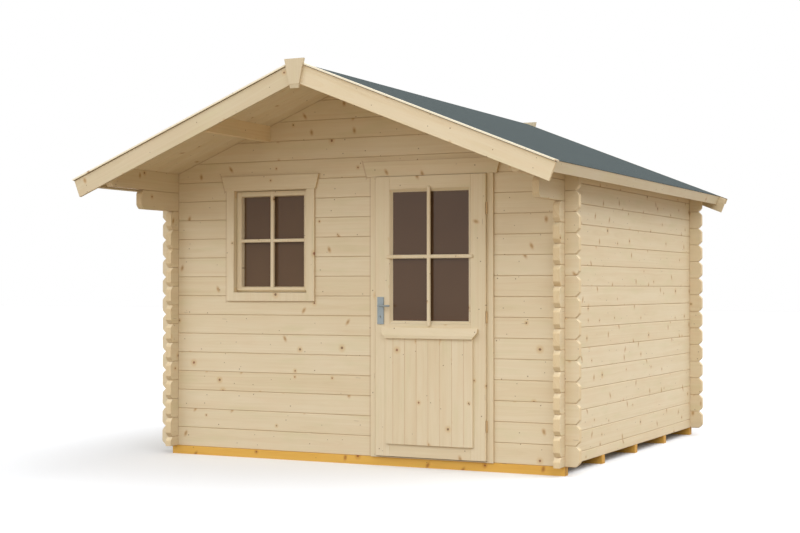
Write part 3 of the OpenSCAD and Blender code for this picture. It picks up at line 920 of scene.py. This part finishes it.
class Stock:
    """Gathers boards and profiles with eased edges into one mesh."""

    def __init__(self, name: str) -> None:
        """Starts an empty piece.

        Args:
            name: Name of the piece.
        """
        self.name = name
        self.mesh = bmesh.new()

    def loft(
        self,
        near: Sequence[Vector],
        far: Sequence[Vector],
        arris: float = 0.0,
        slot: int = 0,
    ) -> None:
        """Adds a solid between two outlines with as many corners each.

        Args:
            near: Corners of the first outline, in order.
            far: Corners of the second outline.
            arris: Width of the eased edges; 0 leaves them sharp.
            slot: Number of the material.
        """
        near, far = ([self.mesh.verts.new(p) for p in ring] for ring in (near, far))
        faces = [self.mesh.faces.new(near[::-1]), self.mesh.faces.new(far)]
        for i in range(len(near)):
            j = (i + 1) % len(near)
            faces.append(self.mesh.faces.new([near[i], near[j], far[j], far[i]]))
        for face in faces:
            face.material_index = slot
        bmesh.ops.recalc_face_normals(self.mesh, faces=faces)
        if arris:
            edges = list(dict.fromkeys(edge for face in faces for edge in face.edges))
            eased = bmesh.ops.bevel(
                self.mesh, geom=edges, offset=arris, segments=1, affect="EDGES", clamp_overlap=True
            )
            for face in eased["faces"]:
                face.material_index = slot

    def sweep(
        self,
        way: Way,
        profile: Sequence[Point],
        run: Point,
        arris: float = 0.0,
        slot: int = 0,
    ) -> None:
        """Adds a solid swept along an axis.

        Args:
            way: The axis: X, Y or Z.
            profile: Corners by the other two axes, in order.
            run: Start and end along the axis.
            arris: Width of the eased edges; 0 leaves them sharp.
            slot: Number of the material.
        """
        axis = list(Way).index(way)
        near = [Vector((*point[:axis], run[0], *point[axis:])) for point in profile]
        reach = way.value * (run[1] - run[0])
        self.loft(near, [corner + reach for corner in near], arris, slot)

    def board(self, low: Vector, high: Vector, arris: float = 0.0, slot: int = 0) -> None:
        """Adds a board between two corners."""
        plan = [(low[0], low[1]), (high[0], low[1]), (high[0], high[1]), (low[0], high[1])]
        self.sweep(Way.Z, plan, (low[2], high[2]), arris, slot)

    def place(
        self, finishes: Sequence[Finish], body: str, slot: str, *nodes: str
    ) -> bpy.types.Object:
        """Makes the object and ties it to the frame.

        Args:
            finishes: The finishes by number.
            body: The CAD body that the piece moves with.
            slot: The record's material slot; not used.
            nodes: CAD nodes that the piece stands for.

        Returns:
            The object.
        """
        data = bpy.data.meshes.new(self.name)
        self.mesh.to_mesh(data)
        self.mesh.free()
        piece = bpy.data.objects.new(self.name, data)
        bpy.context.scene.collection.objects.link(piece)
        for finish in finishes:
            data.materials.append(finish.material())
        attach(piece, body)
        if nodes:
            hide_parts(*nodes)
        LOG.info("%s: %d faces", self.name, len(data.polygons))
        return piece


def split_run(low: float, high: float, near: float) -> tuple[float, list[Point]]:
    """Splits a run into equal boards.

    Args:
        low: Start of the run.
        high: End of the run.
        near: Width that the boards come near to.

    Returns:
        The boards' width, and the two edges of each.
    """
    count = round((high - low) / near)
    width = (high - low) / count
    return width, [(low + i * width, low + (i + 1) * width) for i in range(count)]


def drill(piece: bpy.types.Object, centre: Vector, radius: float, reach: float) -> None:
    """Bores a round hole along Y through a piece.

    Args:
        piece: The piece.
        centre: A point on the hole's axis.
        radius: Radius of the hole.
        reach: Half the length of the cut.
    """
    tool = bmesh.new()
    bmesh.ops.create_cone(
        tool, cap_ends=True, segments=32, radius1=radius, radius2=radius, depth=2 * reach
    )
    for vert in tool.verts:
        vert.co = Vector((vert.co.x, vert.co.z, -vert.co.y)) + centre
    data = bpy.data.meshes.new("cutter")
    tool.to_mesh(data)
    tool.free()
    cutter = bpy.data.objects.new("cutter", data)
    bpy.context.scene.collection.objects.link(cutter)
    cut = piece.modifiers.new("hole", "BOOLEAN")
    cut.object, cut.operation, cut.solver = cutter, "DIFFERENCE", "EXACT"
    graph = bpy.context.evaluated_depsgraph_get()
    result = bpy.data.meshes.new_from_object(piece.evaluated_get(graph))
    piece.modifiers.clear()
    piece.data = result
    bpy.data.objects.remove(cutter)


def middle(node: str) -> Vector:
    """Gives the centre of a CAD node's box."""
    low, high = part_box(node)
    return (low + high) / 2


# ---- Sub-assemblies --------------------------------------------------------------------


@dataclass
class Foundation:
    """Impregnated beams under the house and the floor boards on them."""

    board_w: float = 0.0969
    gap: float = 0.002
    arris: float = 0.002

    def build(self) -> None:
        """Dresses the beams and lays the floor boards."""
        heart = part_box("foundation_beams")[0].y + 0.03
        Timber(
            "golden_beams", Way.X, Way.Z, heart, pitch=0.2, start=-0.05, seed=31, knots=1.0,
            tones=GOLDEN,
        ).dress("foundation_beams")
        self._floor()

    def _floor(self) -> None:
        """Lays boards front to back with a fine joint between them, notched at the doorway."""
        low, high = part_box("floor_boards")
        frame_low, frame_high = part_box("door_frame")
        notch = (frame_low.x - self.gap, frame_high.x + self.gap, frame_high.y + self.gap)
        width, boards = split_run(low.x, high.x, self.board_w)
        floor = Stock("floor_planks")
        for edges in boards:
            plan = self._plan(edges, (low.y, high.y), notch)
            floor.sweep(Way.Z, plan, (low.z, high.z), self.arris)
        # Its timber paints a thin line of shade along each board joint.
        spruce = Timber(
            "floor_spruce", Way.Y, Way.X, middle("floor_boards").z, width, low.x, 12, seam=0.003
        )
        floor.place([spruce], "house", "board_pine", "floor_boards")

    @staticmethod
    def _plan(edges: Point, ends: Point, notch: tuple[float, float, float]) -> list[Point]:
        """Gives one board's plan, cut back where it meets the notch.

        Args:
            edges: Left and right edges of the board.
            ends: Its front and rear ends.
            notch: Left, right and rear edges of the notch.

        Returns:
            The corners.
        """
        (a, b), (near, far), (left, right, back) = edges, ends, notch
        cut = [left < x < right for x in edges]
        if all(cut):
            front = [(a, back), (b, back)]
        elif cut[1]:
            front = [(a, near), (left, near), (left, back), (b, back)]
        elif cut[0]:
            front = [(a, back), (right, back), (right, near), (b, near)]
        else:
            front = [(a, near), (b, near)]
        return [*front, (b, far), (a, far)]


@dataclass
class Walls:
    """The log walls, their gables and the purlins."""

    front: tuple[str, ...] = ("front_wall_left", "front_wall_right", "front_gable")
    rear: tuple[str, ...] = ("rear_wall", "rear_gable")
    beside_front: tuple[str, ...] = (
        "window_trim", "window_head_board", "door_frame", "door_head_board"
    )
    # Width of the painted shade line along each log joint.
    seam: float = 0.0034

    def build(self) -> None:
        """Dresses every log course."""
        inner, outer = (corner.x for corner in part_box("right_wall"))
        low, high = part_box("front_wall_left")[0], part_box("front_wall_right")[1]
        # Outlines where the walls cross, round which shade is painted in the corners.
        corners = tuple(
            Seam(left, right, low.z - 1.0, high.z + 1.0)
            for left, right in ((-outer, -inner), (inner, outer))
        )
        # Height of the roof's underside at the ridge, under which a line of shade is painted.
        under_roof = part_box("roof_boards_left")[1].z - Roof.board_t / Way.OFF_SLOPE.value.z
        # Outlines of the trims, frame and head boards, round which shade is painted on the front
        # wall.
        against = tuple(Seam.round_node(name, low.y) for name in self.beside_front)
        for seed, names, shade_outlines in ((3, self.front, against + corners), (5, self.rear, corners)):
            Timber(
                f"logs_{names[0]}", Way.X, Way.Z, middle(names[0]).y, start=BEAM_TOP, seed=seed,
                seam=self.seam, shade_outlines=shade_outlines, roof=under_roof,
            ).dress(*names)
        for seed, name in ((8, "left_wall"), (2, "right_wall")):
            Timber(
                f"logs_{name}", Way.Y, Way.Z, middle(name).x, start=BEAM_TOP - LOG_PITCH / 2,
                seed=seed, knots=0.68, seam=self.seam, shade_outlines=corners,
            ).dress(name)
        # The purlins wear a paler palette as painted light in the shade under the roof.
        for seed, name in enumerate(("left_purlin", "ridge_purlin", "right_purlin"), 21):
            Timber(
                f"spruce_{name}", Way.Y, Way.Z, middle(name).x, 0.2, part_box(name)[0].z - 0.03,
                seed, tones=PURLIN_LIT,
            ).dress(name)


@dataclass
class Roof:
    """Board slopes, felt, barge boards, cover strips, apex boards and eaves boards."""

    board_t: float = 0.018
    plank_w: float = 0.0971
    joint: float = 0.003

    def build(self) -> None:
        """Lays the planks and dresses the rest."""
        for side, name in ((-1, "left"), (1, "right")):
            self._planks(side, name)
            self._edge_boards(side, name)
        Felt().dress("roof_felt_left", "roof_felt_right")
        for end in ("front", "rear"):
            strips, apex = f"verge_strips_{end}", f"apex_board_{end}"
            centre = middle(strips)
            # The front strips wear the near-white palette as a painted highlight; the rear ones
            # wear the trim palette.
            if end == "front":
                across, heart, tones = Way.Y, centre.z - 0.1, HIGHLIT_CREAM
            else:
                across, heart, tones = Way.OFF_SLOPE, centre.y, TRIM
            Timber(
                f"strips_{end}", Way.SLOPE, across, heart, pitch=0.4, start=-3.0, seed=41,
                knots=0.2, mirrored=True, tones=tones,
            ).dress(strips)
            Timber(
                f"apex_{end}", Way.Z, Way.X, middle(apex).y, pitch=0.2, start=-0.1, seed=44,
                knots=0.2, tones=TRIM,
            ).dress(apex)

    def _edge_boards(self, side: int, name: str) -> None:
        """Dresses a slope's barge boards and eaves board.

        Args:
            side: -1 for the left slope, 1 for the right one.
            name: The slope's name.
        """
        for seed, end in ((50, "front"), (52, "rear")):
            node = f"barge_{end}_{name}"
            Timber(
                f"spruce_{node}", Way.SLOPE, Way.OFF_SLOPE, middle(node).y, pitch=0.4, start=1.0,
                seed=seed + side, knots=0.25, mirrored=True,
                tones=FRESH if (side, end) == (1, "front") else TRIM,
            ).dress(node)
        node = f"eaves_board_{name}"
        Timber(
            f"spruce_{node}", Way.Y, Way.OFF_SLOPE, 1.0, pitch=0.4, start=1.0, seed=60 + side,
            knots=0.08, mirrored=True, tones=TRIM,
        ).dress(node)

    def _planks(self, side: int, name: str) -> None:
        """Lays one slope's planks from the ridge down, with a chamfered joint underneath.

        Args:
            side: -1 for the left slope, 1 for the right one.
            name: The slope's name.
        """
        node = f"roof_boards_{name}"
        low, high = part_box(node)
        slope, off = Way.SLOPE.value, Way.OFF_SLOPE.value
        ridge = high.z - self.board_t / off.z
        reach = (max(abs(low.x), abs(high.x)) - self.board_t * off.x) / slope.x

        def corner(down: float, y: float, out: float) -> Vector:
            """Gives a corner by its way down the slope, along the ridge and off the slope."""
            x, z = down * slope.x + out * off.x, down * slope.z + out * off.z
            return Vector((side * x, y, ridge + z))

        width, boards = split_run(low.y, high.y, self.plank_w)
        stock = Stock(f"roof_planks_{name}")
        c, t = self.joint, self.board_t
        for edges in boards:
            a, b = edges[0] + HAIR, edges[1] - HAIR
            section = [(a + c, 0.0), (b - c, 0.0), (b, c), (b, t), (a, t), (a, c)]
            at_ridge = [corner(HAIR - out * math.tan(ROOF_PITCH), y, out) for y, out in section]
            stock.loft(at_ridge, [corner(reach, y, out) for y, out in section])
        # Its timber paints a thin line of shade along each plank joint.
        spruce = Timber(
            f"planks_{name}", Way.SLOPE, Way.Y, 0.0, width, low.y, 14 + side, mirrored=True,
            knots=0.35, seam=0.0022,
        )
        stock.place([spruce], "house", "board_pine", node)


@dataclass
class Window:
    """The window's frame, sash, beads, pane, bars, trim and head board.

    Attributes:
        foot: Height of the bevel under the sash's face.
        bar_up: Width and thickness of the upright bar.
        bar_level: Width and thickness of the level bars.
        bar_face: How far the upright bar stands out from the sash.
        bar_step: How far the level bars stand back from it.
        bar_shift: Where the bars cross, off the middle of the pane.
    """

    stile: float = 0.036
    rail: float = 0.032
    foot: float = 0.014
    arris: float = 0.0015
    bar_up: Point = (0.026, 0.020)
    bar_level: Point = (0.023, 0.018)
    bar_ease: float = 0.0035
    bar_face: float = 0.002
    bar_step: float = 0.001
    bar_arris: float = 0.0008
    bar_clear: float = 0.0003
    bar_shift: Point = (-0.0037, 0.0065)

    def build(self) -> None:
        """Dresses the nodes, then joins the sash and the bars."""
        low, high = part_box("window_glass")
        Timber(
            "window_spruce", Way.Z, Way.X, middle("window_frame").y, pitch=0.16, start=-1.1,
            seed=71, level=(low.z, high.z), knots=0.25,
        ).dress("window_frame", "window_beads")
        trim_low, trim_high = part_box("window_trim")
        Timber(
            "window_trim_spruce", Way.Z, Way.X, middle("window_trim").y, pitch=0.12,
            start=trim_low.x - 0.03, seed=74, level=(trim_low.z - 1.0, trim_high.z + 1.0),
            knots=0.3,
        ).dress("window_trim")
        head_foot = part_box("window_head_board")[0].z
        Timber(
            "window_head_spruce", Way.X, Way.Z, middle("window_head_board").y, pitch=0.3,
            start=head_foot - 0.1, seed=77, knots=0.3,
        ).dress("window_head_board")
        # The window's pane is painted lighter than the door's, as painted light against the deeper
        # shade it sits in.
        Pane("window_pane", colour("614A35"), colour("6B543E")).dress("window_glass")
        self._sash()
        self._bars((low + high) / 2)

    def _sash(self) -> None:
        """Joins the sash from two stiles and two rails, bevelled under its face."""
        low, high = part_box("window_sash")
        stock = Stock("sash_timber")
        foot = [(low.y, low.z + self.foot), (low.y + self.foot, low.z), (high.y, low.z)]
        stile = [*foot, (high.y, high.z), (low.y, high.z)]
        for run in ((low.x, low.x + self.stile), (high.x - self.stile, high.x)):
            stock.sweep(Way.X, stile, run, self.arris)
        run = (low.x + self.stile + HAIR, high.x - self.stile - HAIR)
        foot_rail = [*foot, (high.y, low.z + self.rail), (low.y, low.z + self.rail)]
        under = high.z - self.rail
        top_rail = [(low.y, under), (high.y, under), (high.y, high.z), (low.y, high.z)]
        for rail in (foot_rail, top_rail):
            stock.sweep(Way.X, rail, run, self.arris, slot=1)
        y = middle("window_sash").y
        stiles = Timber("sash_stiles", Way.Z, Way.X, y, pitch=0.3, start=-1.1, seed=81, knots=0.3)
        rails = Timber("sash_rails", Way.X, Way.Z, y, pitch=0.3, start=1.0, seed=83, knots=0.2)
        stock.place([stiles, rails], "house", "joinery_pine", "window_sash")

    def _bars(self, centre: Vector) -> None:
        """Plants a cross of bars on the sash, clear of the pane.

        Args:
            centre: Middle of the pane.
        """
        low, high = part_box("window_sash")
        x, z = centre.x + self.bar_shift[0], centre.z + self.bar_shift[1]
        front = low.y - self.bar_face
        clear = self.bar_clear
        stock = Stock("window_bars")
        upright = [(x + off, y) for off, y in self._section(self.bar_up, front)]
        foot, top = low.z + self.rail + clear, high.z - self.rail - clear
        stock.sweep(Way.Z, upright, (foot, top))
        half = self.bar_up[0] / 2
        for a, b in ((top, high.z), (low.z + self.foot, foot)):
            edges = Vector((x - half, front, a)), Vector((x + half, low.y - clear, b))
            stock.board(*edges, self.bar_arris)
        level = [(y, z + off) for off, y in self._section(self.bar_level, front + self.bar_step)]
        left, right = low.x + self.stile + clear, high.x - self.stile - clear
        for run in ((left, x - half), (x + half, right)):
            stock.sweep(Way.X, level, run)
        spruce = Timber(
            "window_bar_spruce", Way.Z, Way.X, front, pitch=0.3, start=-1.1, seed=85, knots=0.9
        )
        stock.place([spruce], "house", "joinery_pine")

    def _section(self, size: Point, front: float) -> list[Point]:
        """Gives a bar's section, with eased front edges.

        Args:
            size: Width and thickness of the bar.
            front: Place of its front along Y.

        Returns:
            Corners by their way across the bar and their place along Y.
        """
        half, ease, back = size[0] / 2, self.bar_ease, front + size[1]
        return [
            (-half, back), (-half, front + ease), (-half + ease, front),
            (half - ease, front), (half, front + ease), (half, back),
        ]


@dataclass
class Door:
    """The door's frame, leaf, beads, pane, bars, panel, drip board and head board.

    Attributes:
        recess: How far the leaf lies back behind the panel.
        edge: Bevel along the left stile.
        ease_out: What the leaf gains on the left and at the top.
        ease_hinged: What it gains at the hinged edge, apart from the hinges.
        hinge_places: Places of the hinges, as shares of the leaf's height.
        hinge_half: Half the height left free for a hinge.
        bar_step: How much thinner the level bars are.
        bar_past: How far the bars reach past the pane.
        bar_point: Length of their points.
        bar_tip: Width of the points' blunt tips, by the bar's width.
        bar_shift: Where the bars cross, off the middle of the pane.
        least_board: Least width of the panel's last board.
        lever_neck: Radius of the lever's neck, from its left end to its axis.
    """

    stile: float = 0.103
    foot_rail: float = 0.18
    lock_rail: float = 0.142
    recess: float = 0.008
    edge: float = 0.002
    ease_out: float = 0.002
    ease_hinged: float = 0.0035
    hinge_places: tuple[float, ...] = (0.12, 0.5, 0.88)
    hinge_half: float = 0.040
    arris: float = 0.0012
    bar_w: float = 0.025
    bar_t: float = 0.0125
    bar_step: float = 0.001
    bar_past: Point = (0.020, 0.016)
    bar_point: float = 0.008
    bar_tip: float = 0.4
    bar_ease: float = 0.004
    bar_shift: Point = (-0.002, -0.003)
    board_w: float = 0.086
    first_board: float = 0.054
    least_board: float = 0.02
    panel_arris: float = 0.0007
    bore: float = 0.005
    lever_neck: float = 0.007

    def build(self) -> None:
        """Dresses the nodes, then joins the leaf, its panel and its bars."""
        low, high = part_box("door_glass")
        self._frame()
        Timber(
            "door_bead_spruce", Way.Z, Way.X, middle("door_glass").y, pitch=0.4, start=-0.05,
            seed=95, level=(low.z + 0.018, high.z - 0.018), knots=0.25,
        ).dress("door_beads")
        Pane("door_pane").dress("door_glass")
        Timber(
            "drip_spruce", Way.X, Way.Z, middle("door_drip_board").y, pitch=0.3, start=0.7,
            seed=97, knots=0.35,
        ).dress("door_drip_board")
        self._leaf(low, high)
        self._panel()
        self._bars(low, high)

    @staticmethod
    def _frame() -> None:
        """Dresses the frame, its stops, the head board and the threshold."""
        left, head_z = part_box("door_frame")[0].x - 0.1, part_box("door_stops")[1].z
        Timber(
            "jamb_spruce", Way.Z, Way.X, middle("door_frame").y, pitch=0.5, start=left, seed=91,
            level=(-1.0, head_z + 0.0005), knots=0.3,
        ).dress("door_frame")
        Timber(
            "stop_spruce", Way.Z, Way.X, middle("door_stops").y, pitch=0.5, start=left, seed=92,
            level=(-1.0, head_z - 0.0125), knots=0.2,
        ).dress("door_stops")
        Timber(
            "door_head_spruce", Way.X, Way.Z, middle("door_head_board").y, pitch=0.3,
            start=head_z - 0.1, seed=93, knots=0.3,
        ).dress("door_head_board")
        Timber(
            "threshold_spruce", Way.X, Way.Y, middle("door_threshold").z, pitch=0.3, start=-1.6,
            seed=98, knots=0.2,
        ).dress("door_threshold")

    def _leaf(self, glass_low: Vector, glass_high: Vector) -> None:
        """Joins the leaf from two stiles, one of them notched for the hinges, and three rails.

        Args:
            glass_low: Lowest corner of the pane.
            glass_high: Highest corner of the pane.
        """
        low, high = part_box("door_leaf")
        hinges = [low.z + share * (high.z - low.z) for share in self.hinge_places]
        left, right = low.x + self.stile, high.x - self.stile
        low.x -= self.ease_out
        high.z += self.ease_out
        stock = Stock("leaf_timber")
        c = self.edge
        plan = [(low.x, low.y + c), (low.x + c, low.y), (left, low.y), (left, high.y)]
        stock.sweep(Way.Z, [*plan, (low.x, high.y)], (low.z, high.z), self.arris)
        out = high.x + self.ease_hinged
        edge = [(out, low.z)]
        for z in hinges:
            foot, top = z - self.hinge_half, z + self.hinge_half
            edge += [(out, foot), (high.x, foot), (high.x, top), (out, top)]
        face = [(right, low.z), *edge, (out, high.z), (right, high.z)]
        stock.sweep(Way.Y, face, (low.y, high.y), self.arris)

        clear = 0.0004
        opening = (glass_low.z - clear, glass_high.z + clear)
        foot_top, lock_foot = low.z + self.foot_rail, opening[0] - self.lock_rail
        rails = ((low.z, foot_top), (lock_foot, opening[0]), (opening[1], high.z))
        left, right = left + HAIR, right - HAIR
        for foot, top in rails:
            stock.board(Vector((left, low.y, foot)), Vector((right, high.y, top)), self.arris, 1)
        back, front = low.y + self.recess, high.y - self.recess
        stock.board(Vector((left, back, foot_top)), Vector((right, front, lock_foot)))
        y = middle("door_leaf").y
        # The stiles' timber paints a line of shade along the leaf's left edge, by the gap to the
        # frame.
        stiles = Timber(
            "leaf_stiles", Way.Z, Way.X, y, pitch=0.6, start=low.x, seed=101, knots=0.55, seam=0.005
        )
        level = Timber(
            "leaf_rails", Way.X, Way.Z, y, pitch=0.5, start=low.z - 0.1, seed=103, knots=0.3
        )
        piece = stock.place([stiles, level], "door", "joinery_pine", "door_leaf")
        lever = middle("door_lever")
        axis = Vector((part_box("door_lever")[0].x + self.lever_neck, lever.y, lever.z))
        drill(piece, axis, self.bore, high.y - low.y)

    def _panel(self) -> None:
        """Plants the lower panel's boards, with a fine joint between them."""
        low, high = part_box("door_panel")
        joints = [low.x, low.x + self.first_board]
        while joints[-1] + self.board_w < high.x - self.least_board:
            joints.append(joints[-1] + self.board_w)
        joints.append(high.x)
        stock = Stock("door_panel_boards")
        gap = HAIR / 2
        for a, b in zip(joints, joints[1:]):
            left = a + (gap if a > low.x else 0.0)
            right = b - (gap if b < high.x else 0.0)
            edges = Vector((left, low.y, low.z)), Vector((right, high.y, high.z))
            stock.board(*edges, self.panel_arris)
        # Its timber paints a thin orange line of shade along each joint between the boards.
        spruce = Timber(
            "panel_spruce", Way.Z, Way.X, middle("door_panel").y, self.board_w,
            low.x + self.first_board, 107, seam=0.003, tones=Tones(seam=colour("C08552")),
        )
        stock.place([spruce], "door", "joinery_pine", "door_panel")

    def _bars(self, low: Vector, high: Vector) -> None:
        """Plants a cross of bars with pointed ends over the glazed opening, on both faces.

        Args:
            low: Lowest corner of the pane.
            high: Highest corner of the pane.
        """
        leaf_low, leaf_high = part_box("door_leaf")
        centre = (low + high) / 2
        (past_x, past_z), (shift_x, shift_z) = self.bar_past, self.bar_shift
        run_up = (low.z - past_z, high.z + past_z)
        run_level = (low.x - past_x, high.x + past_x)
        stock = Stock("door_bars")
        for face, out in ((leaf_low.y, -1), (leaf_high.y, 1)):
            front, lower = face + out * self.bar_t, face + out * (self.bar_t - self.bar_step)
            self._bar(stock, False, run_up, centre.x + shift_x, (face, front))
            self._bar(stock, True, run_level, centre.z + shift_z, (face, lower))
        spruce = Timber(
            "door_bar_spruce", Way.Z, Way.X, leaf_low.y, pitch=0.4, start=centre.x - 0.2, seed=109,
            knots=0.7,
        )
        stock.place([spruce], "door", "joinery_pine")

    def _bar(self, stock: Stock, level: bool, run: Point, across: float, faces: Point) -> None:
        """Adds one bar whose ends are pointed in front view and whose front edges are eased.

        Args:
            stock: The piece that it belongs to.
            level: Whether it lies level.
            run: Its two ends.
            across: Its middle line.
            faces: Its back and its front.
        """
        half, point, ease = self.bar_w / 2, self.bar_point, self.bar_ease
        face, front = faces
        shoulder = front - math.copysign(ease, front - face)

        def ring(width: float, inset: float, y: float) -> list[Vector]:
            """Gives the bar's outline at one depth.

            Args:
                width: Half the width of the bar there.
                inset: How far its ends lie back there.
                y: The depth.

            Returns:
                The corners.
            """
            lo, hi = run[0] + inset, run[1] - inset
            tip = width * self.bar_tip
            outline = [
                (lo, tip), (lo + point, width), (hi - point, width), (hi, tip),
                (hi, -tip), (hi - point, -width), (lo + point, -width), (lo, -tip),
            ]
            if level:
                return [Vector((along, y, across + off)) for along, off in outline]
            return [Vector((across + off, y, along)) for along, off in outline]

        stock.loft(ring(half, 0.0, face), ring(half, 0.0, shoulder))
        stock.loft(ring(half, 0.0, shoulder), ring(half - ease, ease, front))


@dataclass
class Fittings:
    """Hinges, handle plates and lever."""

    steel: Metal = Metal()
    zinc: Metal = Metal("yellow_zinc", colour("CFB184"), colour("BF9C6C"), metallic=0.3)

    def build(self) -> None:
        """Dresses the metal parts."""
        self.steel.dress("handle_plates", "door_lever")
        self.zinc.dress("hinge_frame_halves", "hinge_door_halves")


# ---- Studio ----------------------------------------------------------------------------


@dataclass(frozen=True)
class Sun:
    """A far soft lamp.

    Attributes:
        name: Its name.
        azimuth: Where it stands, in degrees from the front towards the right.
        height: Its height over the horizon, in degrees.
        spread: How wide it is, in degrees.
        power: Its strength.
    """

    name: str
    azimuth: float
    height: float
    spread: float
    power: float

    def build(self, scene: bpy.types.Scene) -> None:
        """Adds the lamp.

        Args:
            scene: The scene.
        """
        data = bpy.data.lights.new(self.name, "SUN")
        data.energy, data.angle = self.power, math.radians(self.spread)
        lamp = bpy.data.objects.new(self.name, data)
        turn, lift = math.radians(self.azimuth), math.radians(self.height)
        flat = math.cos(lift)
        source = Vector((math.sin(turn) * flat, -math.cos(turn) * flat, math.sin(lift)))
        lamp.rotation_euler = (-source).to_track_quat("-Z", "Y").to_euler()
        scene.collection.objects.link(lamp)


@dataclass
class Studio:
    """Pale floor, soft light and camera, whose tilt and turn are in degrees."""

    eye: tuple[float, float, float] = (4.7286, -10.3715, 1.1949)
    tilt: float = 90.826
    turn: float = 26.36
    lens: float = 66.48
    sensor: float = 36.0
    sees_to: float = 500.0
    sky: float = 0.38
    floor_half: float = 60.0
    floor_light: Colour = colour("988770")
    floor_seen: Colour = colour("F2F4F7")
    suns: tuple[Sun, ...] = (
        Sun("front_left", -50.0, 30.0, 60.0, 1.13),
        Sun("front_right", 45.0, 45.0, 60.0, 1.48),
        Sun("rear_right", 135.0, 52.0, 60.0, 1.88),
        Sun("low_front", 0.0, 12.0, 60.0, 0.54),
    )

    def build(self) -> None:
        """Sets the camera, the light and the floor."""
        scene = bpy.context.scene
        scene.view_settings.view_transform = "Standard"
        self._camera(scene)
        self._sky(scene)
        for sun in self.suns:
            sun.build(scene)
        self._floor(scene)

    def _camera(self, scene: bpy.types.Scene) -> None:
        """Places the camera.

        Args:
            scene: The scene.
        """
        data = bpy.data.cameras.new("camera")
        data.lens, data.sensor_width, data.sensor_fit = self.lens, self.sensor, "HORIZONTAL"
        data.clip_end = self.sees_to
        camera = bpy.data.objects.new("camera", data)
        camera.location = self.eye
        camera.rotation_euler = (math.radians(self.tilt), 0.0, math.radians(self.turn))
        scene.collection.objects.link(camera)
        scene.camera = camera

    def _sky(self, scene: bpy.types.Scene) -> None:
        """Lights the scene faintly from all sides, white where it is seen.

        Args:
            scene: The scene.
        """
        world = bpy.data.worlds.new("sky")
        scene.world = world
        g = Graph(world)
        strength = self._seen(g) * (1 - self.sky) + self.sky
        back = g.node("Background", sockets={"Color": (1, 1, 1, 1), "Strength": strength})
        g.node("OutputWorld", sockets={0: back.outputs[0]})

    @staticmethod
    def _seen(g: Graph) -> Num:
        """Tells what the camera sees, straight or through or in a shiny surface.

        Args:
            g: The graph.

        Returns:
            1 for what it sees, else 0.
        """
        path = g.node("LightPath")
        camera, glossy, through = (
            Num(g, path.outputs[f"Is {kind} Ray"]) for kind in ("Camera", "Glossy", "Transmission")
        )
        return camera.math("MAXIMUM", glossy).math("MAXIMUM", through)

    def _floor(self, scene: bpy.types.Scene) -> None:
        """Lays a pale floor that looks white and keeps the shadow.

        Args:
            scene: The scene.
        """
        data = bpy.data.meshes.new("floor")
        h = self.floor_half
        data.from_pydata([(-h, -h, 0), (h, -h, 0), (h, h, 0), (-h, h, 0)], [], [(0, 1, 2, 3)])
        floor = bpy.data.objects.new("floor", data)
        scene.collection.objects.link(floor)
        g = Graph(bpy.data.materials.new("pale_floor"))
        shade = g.mix(self._seen(g), self.floor_light, self.floor_seen)
        data.materials.append(g.principled(Base_Color=shade, Roughness=0.9))


def main() -> None:
    """Builds the sub-assemblies in order, then the studio."""
    logging.basicConfig(level=logging.INFO, format="%(message)s")
    for assembly in (Foundation(), Walls(), Roof(), Window(), Door(), Fittings(), Studio()):
        assembly.build()


if __name__ == "__main__":
    main()
